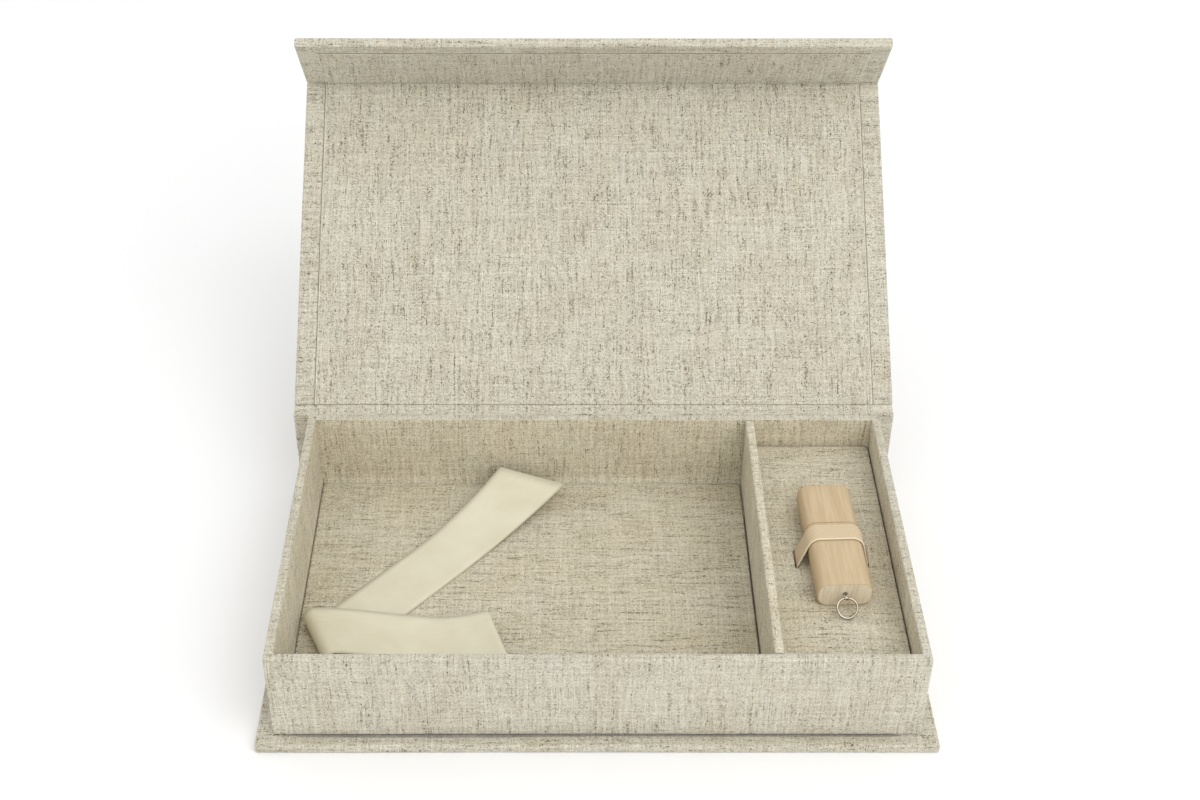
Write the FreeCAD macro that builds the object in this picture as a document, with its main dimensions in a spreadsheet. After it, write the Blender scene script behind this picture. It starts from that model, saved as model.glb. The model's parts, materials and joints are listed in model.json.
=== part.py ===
# Photo storage box: a linen-covered case with a hinged lid and front flap, round a tray with
# a bay for prints and a bay for a wooden USB stick. Millimetres, +Z up, +Y from front to back.
# The origin is the centre of the base's underside.

import FreeCAD, Part

import math
import os

import Sketcher

V = FreeCAD.Vector
UP = V(0, 0, 1)
ACROSS = V(1, 0, 0)

doc = FreeCAD.newDocument("photo_storage_box")

# Driving sizes

driving = (
    ("case_board", 3.4, "greyboard of base, spine, lid and flap"),
    ("case_corner", 1.4, "rounding of the case boards' corners"),
    ("cloth", 0.35, "linen book cloth"),
    ("turn_in", 15.0, "cloth turned over onto a board's inner face"),
    ("fold_round", 0.8, "rounding of the cloth over a board's edge"),
    ("front_square", 5.5, "base that shows in front of the tray"),
    ("side_square", 6.5, "base, spine, lid and flap wider than the tray, each side"),
    ("tray_width", 245.0, "tray, outside"),
    ("tray_depth", 145.5, "tray, outside"),
    ("tray_height", 40.0, "tray, from its underside to the rim"),
    ("tray_board", 2.8, "greyboard of the tray's walls and the divider"),
    ("bottom_board", 2.4, "greyboard of the tray's bottom"),
    ("stick_bay", 50.5, "inside width of the bay for the stick"),
    ("divider_play", 0.2, "gap at each end of the divider"),
    ("pad_card", 1.2, "card of the floor pad"),
    ("pad_margin", 0.7, "gap round the floor pad"),
    ("pad_corner", 2.0, "corner rounding of the floor pad"),
    ("platform_level", 22.9, "top of the USB platform above the tray's inner bottom"),
    ("platform_card", 1.8, "card of the USB platform"),
    ("platform_margin", 0.6, "gap round the USB platform"),
    ("rail_board", 2.8, "rails under the platform"),
    ("rail_inset", 0.3, "gap between a rail and the wall beside it"),
    ("elastic_width", 9.0, "elastic band"),
    ("elastic_thick", 0.8, "elastic band"),
    ("elastic_angle", 11.5, "degrees that the band leans back from its slits"),
    ("elastic_tail", 9.0, "band glued under the platform at each end"),
    ("elastic_spread", 3.7, "distance of the left slit from the stick's side"),
    ("elastic_spread_right", 1.9, "distance of the right slit from the stick's side"),
    ("elastic_gap", 0.35, "running gap between the band and the stick"),
    ("elastic_ahead", 13.2, "near edge of the band's slits in front of the cap's joint"),
    ("slit_play", 0.4, "slit wider than the band, each side"),
    ("stick_length", 59.0, "USB stick with its cap on"),
    ("stick_width", 21.5, "USB stick"),
    ("stick_thick", 11.0, "USB stick"),
    ("stick_corner", 4.4, "rounding of the stick's long edges"),
    ("stick_end", 0.6, "eased edge of the stick's two ends"),
    ("stick_seat", 0.3, "running gap under the stick"),
    ("stick_front", 39.5, "stick's near end behind the tray's front wall"),
    ("stick_offset", 2.5, "stick's near end right of the bay's middle"),
    ("stick_angle", 2.1, "degrees that the stick lies turned"),
    ("cap_length", 22.7, "cap of the stick"),
    ("cap_joint", 0.3, "gap between cap and body"),
    ("plug_width", 12.0, "plug shell"),
    ("plug_thick", 4.5, "plug shell"),
    ("plug_wall", 0.4, "plug shell"),
    ("plug_reach", 12.0, "plug shell in front of the body"),
    ("plug_root", 6.0, "plug shell inside the body"),
    ("plug_play", 0.35, "running gap between plug and cap"),
    ("latch_hole", 2.4, "latch holes in the plug shell"),
    ("latch_pitch", 4.6, "latch hole spacing"),
    ("tongue_thick", 1.9, "plastic tongue in the plug"),
    ("contact_wide", 1.2, "contact strip"),
    ("contact_thick", 0.2, "contact strip"),
    ("contact_pitch", 2.25, "contact strip spacing"),
    ("chamber_wall", 5.5, "wood between the chamber and the stick's near end"),
    ("circuit_width", 12.5, "circuit board"),
    ("circuit_thick", 1.0, "circuit board"),
    ("chamber_play", 0.5, "room round the circuit board and the plug"),
    ("collar_length", 2.0, "plastic collar round the plug"),
    ("eye_hole", 0.85, "screw eye, inner radius"),
    ("eye_wire", 0.3, "screw eye, wire radius"),
    ("eye_shank", 4.5, "screw eye's shank in the wood"),
    ("eye_play", 0.02, "hole for the shank wider than the wire, each side"),
    ("eye_angle", 35.0, "degrees that the eye is turned about its shank"),
    ("ring_radius", 4.0, "key ring, to the middle of its wire"),
    ("ring_wire", 0.35, "key ring, wire radius"),
    ("ring_seat", 0.3, "gap between the key ring and the platform"),
    ("ribbon_width", 25.0, "lifting ribbon"),
    ("ribbon_thick", 0.35, "lifting ribbon"),
    ("ribbon_seat", 0.15, "gap between ribbon and floor pad"),
    ("ribbon_angle", 49.7, "degrees between the lower strand and the box's front"),
    ("ribbon_reach", 6.65, "lower strand's cut end in front of the tray's back wall"),
    ("ribbon_slant", 14.0, "right edge longer than the left at the lower cut end"),
    ("ribbon_back", 66.9, "upper strand, from the fold to its cut end"),
    ("ribbon_tip_slant", 8.7, "near edge longer than the far one at the upper cut end"),
    ("ribbon_fold", 4.0, "radius of the ribbon's fold"),
    ("ribbon_fold_x", 13.55, "middle of the fold right of the tray's left wall"),
    ("ribbon_fold_y", 38.8, "middle of the fold behind the tray's front wall"),
    ("ribbon_lift_left", 11.5, "rise of the lower strand's end, left edge"),
    ("ribbon_lift_right", 6.5, "rise of the lower strand's end, right edge"),
    ("ribbon_dip", 2.4, "lowest place of the upper strand above the floor pad"),
    ("ribbon_tip", 6.5, "height of the upper strand's cut end"),
    ("lid_overhang", 1.1, "closed lid's front edge in front of the tray"),
    ("lid_gap", 0.35, "gap between closed lid and tray rim"),
    ("lid_setback", 1.2, "closed lid's back edge in front of the hinge axis"),
    ("lid_angle", 141.5, "degrees that the lid stands open"),
    ("hinge_rise", 0.7, "hinge axis above the tray rim"),
    ("hinge_set", 0.1, "hinge axis behind the spine"),
    ("seam", 0.05, "gap between a cloth hinge and the boards that it joins"),
    ("liner", 0.25, "lining cloth inside lid and flap"),
    ("liner_margin", 9.0, "cloth that shows beside the lining"),
    ("flap_turn_in", 11.0, "cloth turned over onto the flap's inner face"),
    ("flap_foot", 1.9, "closed flap's lower edge above the base"),
    ("flap_gap", 0.4, "gap between closed flap and tray front"),
    ("flap_drop", 0.95, "closed flap's top edge below the lid's lining"),
    ("flap_end_margin", 7.5, "cloth that shows at the flap's free edge"),
    ("magnet_length", 15.0, "flap magnets and the plates they hold to"),
    ("magnet_width", 10.0, "flap magnets and the plates they hold to"),
    ("magnet_thick", 1.5, "flap magnets and the plates they hold to"),
    ("magnet_level", 8.0, "middle of magnets and plates above the base's top"),
    ("magnet_spacing", 70.0, "between the two magnets"),
)

sizes = doc.addObject("Spreadsheet::Sheet", "Sizes")
for row, (alias, value, note) in enumerate(driving, start=1):
    sizes.set(f"A{row}", note)
    sizes.set(f"B{row}", str(value))
    sizes.setAlias(f"B{row}", alias)

# Places that follow from the driving sizes

following = (
    ("case_width", "tray_width + 2 * side_square"),
    ("base_top", "case_board + 2 * cloth"),
    ("spine_thick", "case_board + 2 * cloth"),
    ("base_depth", "front_square + tray_depth + spine_thick"),
    ("base_front", "-base_depth / 2"),
    ("tray_front", "base_front + front_square"),
    ("tray_back", "tray_front + tray_depth"),
    ("tray_top", "base_top + tray_height"),
    ("wall", "tray_board + 2 * cloth"),
    ("inner_bottom", "base_top + bottom_board + 2 * cloth"),
    ("bay_front", "tray_front + wall"),
    ("bay_back", "tray_back - wall"),
    ("bay_left", "wall - tray_width / 2"),
    ("bay_right", "tray_width / 2 - wall"),
    ("divider_left", "bay_right - stick_bay - wall"),
    ("divider_right", "divider_left + wall"),
    ("pad_top", "inner_bottom + pad_card + 2 * cloth"),
    ("platform_top", "inner_bottom + platform_level"),
    ("platform_under", "platform_top - platform_card - 2 * cloth"),
    ("stick_x", "(divider_right + bay_right) / 2 + stick_offset"),
    ("stick_y", "bay_front + stick_front"),
    ("stick_z", "platform_top + stick_seat"),
    ("body_length", "stick_length - cap_length - cap_joint"),
    ("circuit_length", "body_length - plug_root - chamber_play - chamber_wall"),
    ("elastic_setback", "body_length - elastic_ahead"),
    ("hinge_y", "tray_back + spine_thick + hinge_set"),
    ("hinge_z", "tray_top + hinge_rise"),
    ("lid_under", "lid_gap - hinge_rise"),
    ("lid_back", "-lid_setback"),
    ("lid_front", "tray_front - lid_overhang - hinge_y"),
    ("lid_length", "lid_back - lid_front"),
    ("flap_face", "tray_front - flap_gap - hinge_y"),
    ("flap_top", "lid_under - flap_drop"),
    ("flap_length", "hinge_z + flap_top - base_top - flap_foot"),
    ("ribbon_run", "(bay_back - bay_front - ribbon_fold_y - ribbon_reach) / sin( ribbon_angle )"),
    ("magnet_z", "base_top + magnet_level"),
)

places = doc.addObject("Spreadsheet::Sheet", "Places")
driven = [alias for alias, text in following]


def linked(text, own_sheet="Places."):
    # puts the sheet's name before each alias of a formula
    words = []
    for word in text.split():
        bare = word.strip("()-")
        if bare.isidentifier() and bare not in ("sin", "cos", "tan"):
            word = word.replace(bare, (own_sheet if bare in driven else "Sizes.") + bare)
        words.append(word)
    return " ".join(words)


for row, (alias, text) in enumerate(following, start=1):
    places.set(f"A{row}", alias)
    places.set(f"B{row}", "=" + linked(text, ""))
    places.setAlias(f"B{row}", alias)
doc.recompute()


def mm(alias):
    return places.get(alias) if alias in driven else sizes.get(alias)


def bind(thing, prop, text):
    thing.setExpression(prop, linked(text))


def put(thing, x="0", y="0", z="0"):
    bind(thing, "Placement.Base.x", x)
    bind(thing, "Placement.Base.y", y)
    bind(thing, "Placement.Base.z", z)


def turn(thing, axis, degrees):
    thing.Placement = FreeCAD.Placement(V(0, 0, 0), FreeCAD.Rotation(axis, 1))
    bind(thing, "Placement.Rotation.Angle", degrees)


def block(name, across, deep, tall, x, y, z):
    box = doc.addObject("Part::Box", name)
    bind(box, "Length", across)
    bind(box, "Width", deep)
    bind(box, "Height", tall)
    put(box, x, y, z)
    return box


def swung_block(name, across, deep, tall, x, y, z):
    # a block given as it lies with the lid closed, y and z counted from the lid's hinge axis
    box = doc.addObject("Part::Box", name)
    bind(box, "Length", across)
    bind(box, "Width", deep)
    bind(box, "Height", tall)
    turn(box, ACROSS, "-lid_angle")
    put(
        box,
        x,
        f"hinge_y + ( {y} ) * cos( lid_angle ) + ( {z} ) * sin( lid_angle )",
        f"hinge_z - ( {y} ) * sin( lid_angle ) + ( {z} ) * cos( lid_angle )",
    )
    return box


def joined(name, pieces):
    fuse = doc.addObject("Part::MultiFuse", name)
    fuse.Shapes = pieces
    return fuse


def cut(name, whole, taken):
    solid = doc.addObject("Part::Cut", name)
    solid.Base = whole
    solid.Tool = taken[0] if len(taken) == 1 else joined(name + "_space", taken)
    return solid


def runs_along(edge, direction):
    ends = edge.Vertexes
    if len(ends) < 2:
        return False
    return ends[1].Point.sub(ends[0].Point).cross(direction).Length < 1e-6


def rounded(name, solid, radius_of, kind="Part::Fillet"):
    # rounds, or chamfers, every edge for which radius_of gives a radius
    doc.recompute()
    fillet = doc.addObject(kind, name)
    fillet.Base = solid
    edges = []
    for number, edge in enumerate(solid.Shape.Edges, start=1):
        radius = radius_of(edge)
        if radius:
            edges.append((number, radius, radius))
    fillet.Edges = edges
    return fillet


def board(name, plain, thin, corner="case_corner"):
    # a board with its corners rounded; thin is the direction of its thickness
    return rounded(name, plain, lambda edge: mm(corner) if runs_along(edge, thin) else 0)


def wrapped(name, plain, thin, corner="case_corner"):
    # the outside of a covered board, rounded over the board's corners and edges
    doc.recompute()
    thickness = min(plain.Length.Value, plain.Width.Value, plain.Height.Value)
    fold = min(mm("fold_round"), 0.45 * thickness)
    turned = mm(corner) + mm("cloth")
    return rounded(name, plain, lambda edge: turned if runs_along(edge, thin) else fold)


def covered_pad(name, plain):
    # the outside of a covered card: rounded corners, and its upper edges eased
    upright = rounded(name + "_blank", plain, lambda edge: mm("pad_corner") if runs_along(edge, UP) else 0)
    top = plain.Placement.Base.z + plain.Height.Value

    def upper(edge):
        return mm("fold_round") / 2 if abs(edge.BoundBox.ZMin - top) < 1e-6 else 0

    return rounded(name, upright, upper, "Part::Chamfer")


def plane(body, role):
    return next(part for part in body.Origin.OriginFeatures if part.Role == role)


def sketch_on(body, name, role, offset="0"):
    sketch = body.newObject("Sketcher::SketchObject", name)
    sketch.AttachmentSupport = (plane(body, role), "")
    sketch.MapMode = "FlatFace"
    bind(sketch, "AttachmentOffset.Base.z", offset)
    return sketch


def rectangle(sketch, label, across, along, from_x=None, from_y="0"):
    # a rectangle with its near corner at from_x and from_y, or centred across the y axis
    first = sketch.GeometryCount
    # drawn roughly, and moved to its place by the constraints below
    rough = 8.0
    low, high = V(0, rough, 0), V(0, 2 * rough, 0)
    half = ACROSS * (rough / 2)
    corners = [low - half, low + half, high + half, high - half]
    for start, end in zip(corners, corners[1:] + corners[:1]):
        sketch.addGeometry(Part.LineSegment(start, end), False)
    for side in range(4):
        after = first + (side + 1) % 4
        sketch.addConstraint(Sketcher.Constraint("Coincident", first + side, 2, after, 1))
    for side, way in ((1, "Vertical"), (2, "Horizontal"), (3, "Vertical")):
        sketch.addConstraint(Sketcher.Constraint(way, first + side))
    measures = [
        ("DistanceX", (first, 1, first, 2), rough, "across", across),
        ("DistanceY", (first + 1, 1, first + 1, 2), rough, "along", along),
        ("DistanceY", (-1, 1, first, 1), rough, "y", from_y),
    ]
    if from_x is None:
        sketch.addConstraint(Sketcher.Constraint("Symmetric", first, 1, first, 2, -2))
    else:
        sketch.addConstraint(Sketcher.Constraint("Horizontal", first))
        measures.append(("DistanceX", (-1, 1, first, 1), -rough / 2, "x", from_x))
    for kind, ends, value, word, text in measures:
        index = sketch.addConstraint(Sketcher.Constraint(kind, *ends, value))
        sketch.renameConstraint(index, label + "_" + word)
        bind(sketch, "Constraints." + label + "_" + word, text)


def circle(sketch, label, radius, up):
    # a circle on the y axis
    index = sketch.addGeometry(Part.Circle(V(0, 2, 0), UP, 1), False)
    sketch.addConstraint(Sketcher.Constraint("PointOnObject", index, 3, -2))
    measures = (
        ("Radius", (index,), 1.0, "radius", radius),
        ("DistanceY", (-1, 1, index, 3), 2.0, "y", up),
    )
    for kind, ends, value, word, text in measures:
        place = sketch.addConstraint(Sketcher.Constraint(kind, *ends, value))
        sketch.renameConstraint(place, label + "_" + word)
        bind(sketch, "Constraints." + label + "_" + word, text)


def pad(body, name, sketch, length):
    # the pad of a sketch on the body's XZ plane grows backwards, towards +Y
    feature = body.newObject("PartDesign::Pad", name)
    feature.Profile = sketch
    bind(feature, "Length", length)
    feature.Reversed = True
    doc.recompute()
    return feature


def pocket(body, name, sketch, length, forwards=False):
    # cuts backwards into the body, or forwards towards -Y, and stops the build if nothing is cut
    doc.recompute()
    before = body.Shape.Volume
    feature = body.newObject("PartDesign::Pocket", name)
    feature.Profile = sketch
    bind(feature, "Length", length)
    feature.Reversed = forwards
    doc.recompute()
    if before - body.Shape.Volume < 1e-3:
        raise ValueError(name + " cuts nothing")
    return feature


def dress(body, kind, name, size, chosen):
    # a fillet or a chamfer on the chosen edges of a body
    doc.recompute()
    before = body.Tip
    feature = body.newObject("PartDesign::" + kind, name)
    edges = enumerate(before.Shape.Edges, start=1)
    feature.Base = (before, [f"Edge{number}" for number, edge in edges if chosen(edge)])
    bind(feature, "Radius" if kind == "Fillet" else "Size", size)
    doc.recompute()
    return feature


# Base and spine: two boards at right angles under one cloth

BACK = V(0, 1, 0)
base_board = board("base_board", block(
    "base_sheet",
    "case_width - 2 * cloth", "base_depth - 3 * cloth - case_board", "case_board",
    "cloth - case_width / 2", "base_front + cloth", "cloth",
), UP)
spine_board = board("spine_board", block(
    "spine_sheet",
    "case_width - 2 * cloth", "case_board", "tray_top - 2 * cloth",
    "cloth - case_width / 2", "tray_back + cloth", "cloth",
), BACK)
base_outside = wrapped("base_outside", block(
    "base_slab",
    "case_width", "base_depth", "base_top",
    "-case_width / 2", "base_front", "0",
), UP)
spine_outside = wrapped("spine_outside", block(
    "spine_slab",
    "case_width", "spine_thick", "tray_top",
    "-case_width / 2", "tray_back", "0",
), BACK)
base_recess = block(
    "base_recess",
    "case_width - 2 * turn_in", "base_depth - turn_in - spine_thick", "cloth",
    "turn_in - case_width / 2", "base_front + turn_in", "base_top - cloth",
)
spine_recess = block(
    "spine_recess",
    "case_width - 2 * turn_in", "cloth", "tray_height - cloth",
    "turn_in - case_width / 2", "tray_back", "base_top",
)
case_outside = joined("case_outside", [base_outside, spine_outside])
case_cloth = cut("case_cloth", case_outside, [base_board, spine_board, base_recess, spine_recess])

# Tray: four walls on a bottom board, under one cloth that goes over the rim


def tray_wall(name, across, deep, x, y):
    return block(name, across, deep, "tray_top - inner_bottom", x, y, "inner_bottom - cloth")


def plates(name, y):
    # two steel plates or magnets side by side
    pair = []
    for side, word in ((-1, "left"), (1, "right")):
        pair.append(block(
            name + "_" + word,
            "magnet_length", "magnet_thick", "magnet_width",
            f"{side} * magnet_spacing / 2 - magnet_length / 2", y, "magnet_z - magnet_width / 2",
        ))
    return joined(name, pair)


def plate_seats(sketch, up):
    for side, word in ((-1, "left"), (1, "right")):
        from_x = f"{side} * magnet_spacing / 2 - magnet_length / 2"
        rectangle(sketch, word, "magnet_length", "magnet_width", from_x, up)


tray_bottom_board = block(
    "tray_bottom_board",
    "tray_width - 2 * cloth", "tray_depth - 2 * cloth", "bottom_board",
    "cloth - tray_width / 2", "tray_front + cloth", "base_top + cloth",
)
tray_back_board = tray_wall(
    "tray_back_board", "tray_width - 2 * cloth", "tray_board", "cloth - tray_width / 2", "bay_back + cloth"
)
tray_left_board = tray_wall(
    "tray_left_board",
    "tray_board", "bay_back - bay_front + 2 * cloth", "cloth - tray_width / 2", "bay_front - cloth",
)
tray_right_board = tray_wall(
    "tray_right_board",
    "tray_board", "bay_back - bay_front + 2 * cloth", "bay_right + cloth", "bay_front - cloth",
)
tray_front_board = doc.addObject("PartDesign::Body", "tray_front_board")
front_outline = sketch_on(tray_front_board, "front_outline", "XZ_Plane")
rectangle(front_outline, "wall", "tray_width - 2 * cloth", "tray_top - inner_bottom")
pad(tray_front_board, "front_thickness", front_outline, "tray_board")
plate_outline = sketch_on(tray_front_board, "plate_outline", "XZ_Plane")
plate_seats(plate_outline, "magnet_z - magnet_width / 2 - inner_bottom + cloth")
pocket(tray_front_board, "plate_pockets", plate_outline, "magnet_thick")
put(tray_front_board, "0", "tray_front + cloth", "inner_bottom - cloth")
front_plates = plates("front_plates", "tray_front + cloth")

tray_outside = block(
    "tray_outside",
    "tray_width", "tray_depth", "tray_height", "-tray_width / 2", "tray_front", "base_top",
)
tray_inside = block(
    "tray_inside",
    "bay_right - bay_left", "bay_back - bay_front", "tray_height", "bay_left", "bay_front", "inner_bottom",
)
tray_hollow = cut("tray_hollow", tray_outside, [tray_inside])
doc.recompute()


def tray_fold(edge):
    # rounds the rim inside and outside and the four upright corners outside
    middle = edge.CenterOfMass
    on_rim = abs(middle.z - mm("tray_top")) < 1e-6
    upright = runs_along(edge, UP)
    outer_corner = upright and abs(abs(middle.x) - mm("tray_width") / 2) < 1e-6
    return mm("fold_round") if on_rim or outer_corner else 0


tray_shell = rounded("tray_shell", tray_hollow, tray_fold)
under_recess = block(
    "under_recess",
    "tray_width - 2 * turn_in", "tray_depth - 2 * turn_in", "cloth",
    "turn_in - tray_width / 2", "tray_front + turn_in", "base_top",
)
floor_recess = block(
    "floor_recess",
    "bay_right - bay_left - 2 * turn_in", "bay_back - bay_front - 2 * turn_in", "cloth",
    "bay_left + turn_in", "bay_front + turn_in", "inner_bottom - cloth",
)
tray_cloth = cut("tray_cloth", tray_shell, [
    tray_bottom_board, tray_front_board, front_plates, tray_back_board,
    tray_left_board, tray_right_board, under_recess, floor_recess,
])

# Divider between the bay for prints and the bay for the stick

divider_board = block(
    "divider_board",
    "tray_board", "bay_back - bay_front - 2 * divider_play", "tray_top - inner_bottom - cloth",
    "divider_left + cloth", "bay_front + divider_play", "inner_bottom",
)
divider_slab = block(
    "divider_slab",
    "wall", "bay_back - bay_front - 2 * divider_play", "tray_top - inner_bottom",
    "divider_left", "bay_front + divider_play", "inner_bottom",
)


def divider_fold(edge):
    on_rim = abs(edge.CenterOfMass.z - mm("tray_top")) < 1e-6
    return mm("fold_round") if on_rim and runs_along(edge, BACK) else 0


divider_cloth = cut("divider_cloth", rounded("divider_outside", divider_slab, divider_fold), [divider_board])

# Floor pad of the bay for prints

pad_wide = "divider_left - bay_left - 2 * pad_margin"
pad_deep = "bay_back - bay_front - 2 * pad_margin"
pad_card = board("floor_pad_card", block(
    "pad_sheet",
    pad_wide + " - 2 * cloth", pad_deep + " - 2 * cloth", "pad_card",
    "bay_left + pad_margin + cloth", "bay_front + pad_margin + cloth", "inner_bottom + cloth",
), UP, "pad_corner")
pad_outside = covered_pad("pad_outside", block(
    "pad_slab",
    pad_wide, pad_deep, "pad_top - inner_bottom",
    "bay_left + pad_margin", "bay_front + pad_margin", "inner_bottom",
))
pad_recess = block(
    "pad_recess",
    "divider_left - bay_left - 2 * turn_in", "bay_back - bay_front - 2 * turn_in", "cloth",
    "bay_left + turn_in", "bay_front + turn_in", "inner_bottom",
)
floor_pad_cloth = cut("floor_pad_cloth", pad_outside, [pad_card, pad_recess])

# Platform of the stick's bay, on two rails, with a slit for each leg of the elastic band

platform_wide = "bay_right - divider_right - 2 * platform_margin"
platform_deep = "bay_back - bay_front - 2 * platform_margin"
slit_wide = "elastic_thick + 2 * slit_play"
slit_long = "elastic_width + 2 * slit_play + ( platform_card + 2 * cloth ) * tan( elastic_angle )"
slit_drift = "sin( stick_angle ) * ( elastic_setback + elastic_width / 2 )"
slit_y = "stick_y + elastic_setback - slit_play - ( platform_card + 2 * cloth ) * tan( elastic_angle )"


def slit(name, side, spread):
    reach = f"{side} * ( stick_width / 2 + {spread} + elastic_thick / 2 )"
    return block(
        name, slit_wide, slit_long, "platform_card + 4 * cloth",
        f"stick_x - {slit_drift} + {reach} - ( {slit_wide} ) / 2", f"{slit_y} + sin( stick_angle ) * {reach}",
        "platform_under - cloth",
    )


slits = joined("slits", [
    slit("left_slit", -1, "elastic_spread"), slit("right_slit", 1, "elastic_spread_right"),
])
platform_sheet = block(
    "platform_sheet",
    platform_wide + " - 2 * cloth", platform_deep + " - 2 * cloth", "platform_card",
    "divider_right + platform_margin + cloth",
    "bay_front + platform_margin + cloth",
    "platform_under + cloth",
)
platform_card = cut("platform_card", board("platform_blank", platform_sheet, UP, "pad_corner"), [slits])
platform_outside = covered_pad("platform_outside", block(
    "platform_slab",
    platform_wide, platform_deep, "platform_top - platform_under",
    "divider_right + platform_margin", "bay_front + platform_margin", "platform_under",
))
platform_recess = block(
    "platform_recess",
    "bay_right - divider_right - 2 * turn_in", "bay_back - bay_front - 2 * turn_in", "cloth",
    "divider_right + turn_in", "bay_front + turn_in", "platform_under",
)
platform_cloth = cut("platform_cloth", platform_outside, [platform_card, slits, platform_recess])


def rail(name, x):
    return block(
        name, "rail_board", "bay_back - bay_front - 2 * turn_in", "platform_under - inner_bottom",
        x, "bay_front + turn_in", "inner_bottom",
    )


platform_rails = joined("platform_rails", [
    rail("divider_rail", "divider_right + rail_inset"),
    rail("wall_rail", "bay_right - rail_inset - rail_board"),
])

# Elastic band: out of one slit, over the stick and down the other, leaning back


def touching(point, centre, radius):
    # where a line from the point touches the circle, on its right-hand upper side
    away = point.sub(centre)
    spread = math.acos(radius / away.Length)
    angle = math.atan2(away.y, away.x) + spread
    return centre.add(V(radius * math.cos(angle), radius * math.sin(angle), 0))


def band_side(reach, tail_at, low, high, centre, radius):
    # one face of the band, from its tail under the platform to the middle of its top
    knee = V(reach, high, 0)
    touch = touching(knee, centre, radius)
    turn_angle = (math.atan2(touch.y - centre.y, touch.x - centre.x) + math.pi / 2) / 2
    on_arc = centre.add(V(radius * math.cos(turn_angle), radius * math.sin(turn_angle), 0))
    top = centre.add(V(0, radius, 0))
    tail = V(tail_at, low, 0)
    heel = V(reach, low, 0)
    return [
        Part.LineSegment(tail, heel), Part.LineSegment(heel, knee), Part.LineSegment(knee, touch),
        Part.Arc(touch, on_arc, top), Part.LineSegment(top, V(0, top.y, 0)),
    ]


def band_half(spread):
    thick = mm("elastic_thick")
    slit_place = mm("stick_width") / 2 + mm(spread)
    tail_at = slit_place - mm("elastic_tail")
    under = mm("platform_under")
    top = mm("platform_top")
    stick_top = mm("stick_z") + mm("stick_thick")
    centre = V(mm("stick_width") / 2 - mm("stick_corner"), stick_top - mm("stick_corner"), 0)
    radius = mm("stick_corner") + mm("elastic_gap")
    inner = band_side(slit_place, tail_at, under, top, centre, radius)
    outer = band_side(slit_place + thick, tail_at, under - thick, top, centre, radius + thick)
    end = Part.LineSegment(inner[0].StartPoint, outer[0].StartPoint)
    return [curve.toShape() for curve in inner + outer + [end]]


def band_outline():
    left = [edge.mirror(V(0, 0, 0), ACROSS) for edge in band_half("elastic_spread")]
    return Part.Wire(Part.sortEdges(band_half("elastic_spread_right") + left)[0])


def band_solid():
    flat = Part.Face(band_outline())
    upright = flat.rotated(V(0, 0, 0), ACROSS, 90)
    solid = upright.extrude(V(0, mm("elastic_width"), 0))
    lean = math.tan(math.radians(mm("elastic_angle")))
    shear = FreeCAD.Matrix()
    shear.A23 = lean
    shear.A24 = mm("elastic_setback") - lean * mm("platform_top")
    return solid.transformGeometry(shear)


def stick_frame(z):
    return FreeCAD.Placement(V(mm("stick_x"), mm("stick_y"), z), FreeCAD.Rotation(UP, mm("stick_angle")))


elastic_band = doc.addObject("Part::Feature", "elastic_band")
elastic_band.Shape = band_solid()
elastic_band.Placement = stick_frame(0)

# USB stick: wooden body and cap, plug, collar and circuit board; +Y runs from its near end to its cap


def stick_piece(name):
    body = doc.addObject("PartDesign::Body", name)
    turn(body, UP, "stick_angle")
    put(body, "stick_x", "stick_y", "stick_z")
    return body


def wooden(name, start, length, rounded_end):
    body = stick_piece(name)
    section = sketch_on(body, name + "_section", "XZ_Plane", "-( " + start + " )")
    rectangle(section, "wood", "stick_width", "stick_thick")
    pad(body, name + "_length", section, length)
    dress(body, "Fillet", name + "_long_edges", "stick_corner", lambda edge: runs_along(edge, BACK))
    doc.recompute()
    box = body.Tip.Shape.BoundBox
    end = box.YMin if rounded_end == "near" else box.YMax
    dress(body, "Chamfer", name + "_end", "stick_end", lambda edge: abs(edge.CenterOfMass.y - end) < 1e-6)
    return body


mouth_wide = "circuit_width + 2 * chamber_play"
mouth_tall = "plug_thick + 2 * chamber_play"
usb_body = wooden("usb_body", "0", "body_length", "near")
chamber = sketch_on(usb_body, "chamber", "XZ_Plane", "-body_length")
rectangle(chamber, "mouth", mouth_wide, mouth_tall, None, f"stick_thick / 2 - ( {mouth_tall} ) / 2")
pocket(usb_body, "chamber_pocket", chamber, "plug_root + circuit_length + chamber_play", forwards=True)
shank_hole = sketch_on(usb_body, "shank_hole", "XZ_Plane")
circle(shank_hole, "shank", "eye_wire + eye_play", "stick_thick / 2")
pocket(usb_body, "shank_pocket", shank_hole, "eye_shank")

usb_cap = wooden("usb_cap", "body_length + cap_joint", "cap_length", "far")
cap_mouth = sketch_on(usb_cap, "cap_mouth", "XZ_Plane", "-( body_length + cap_joint )")
cap_tall = "plug_thick + 2 * plug_play"
rectangle(
    cap_mouth, "mouth", "plug_width + 2 * plug_play", cap_tall, None, f"stick_thick / 2 - ( {cap_tall} ) / 2"
)
pocket(usb_cap, "cap_pocket", cap_mouth, "plug_reach + plug_play")

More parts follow.
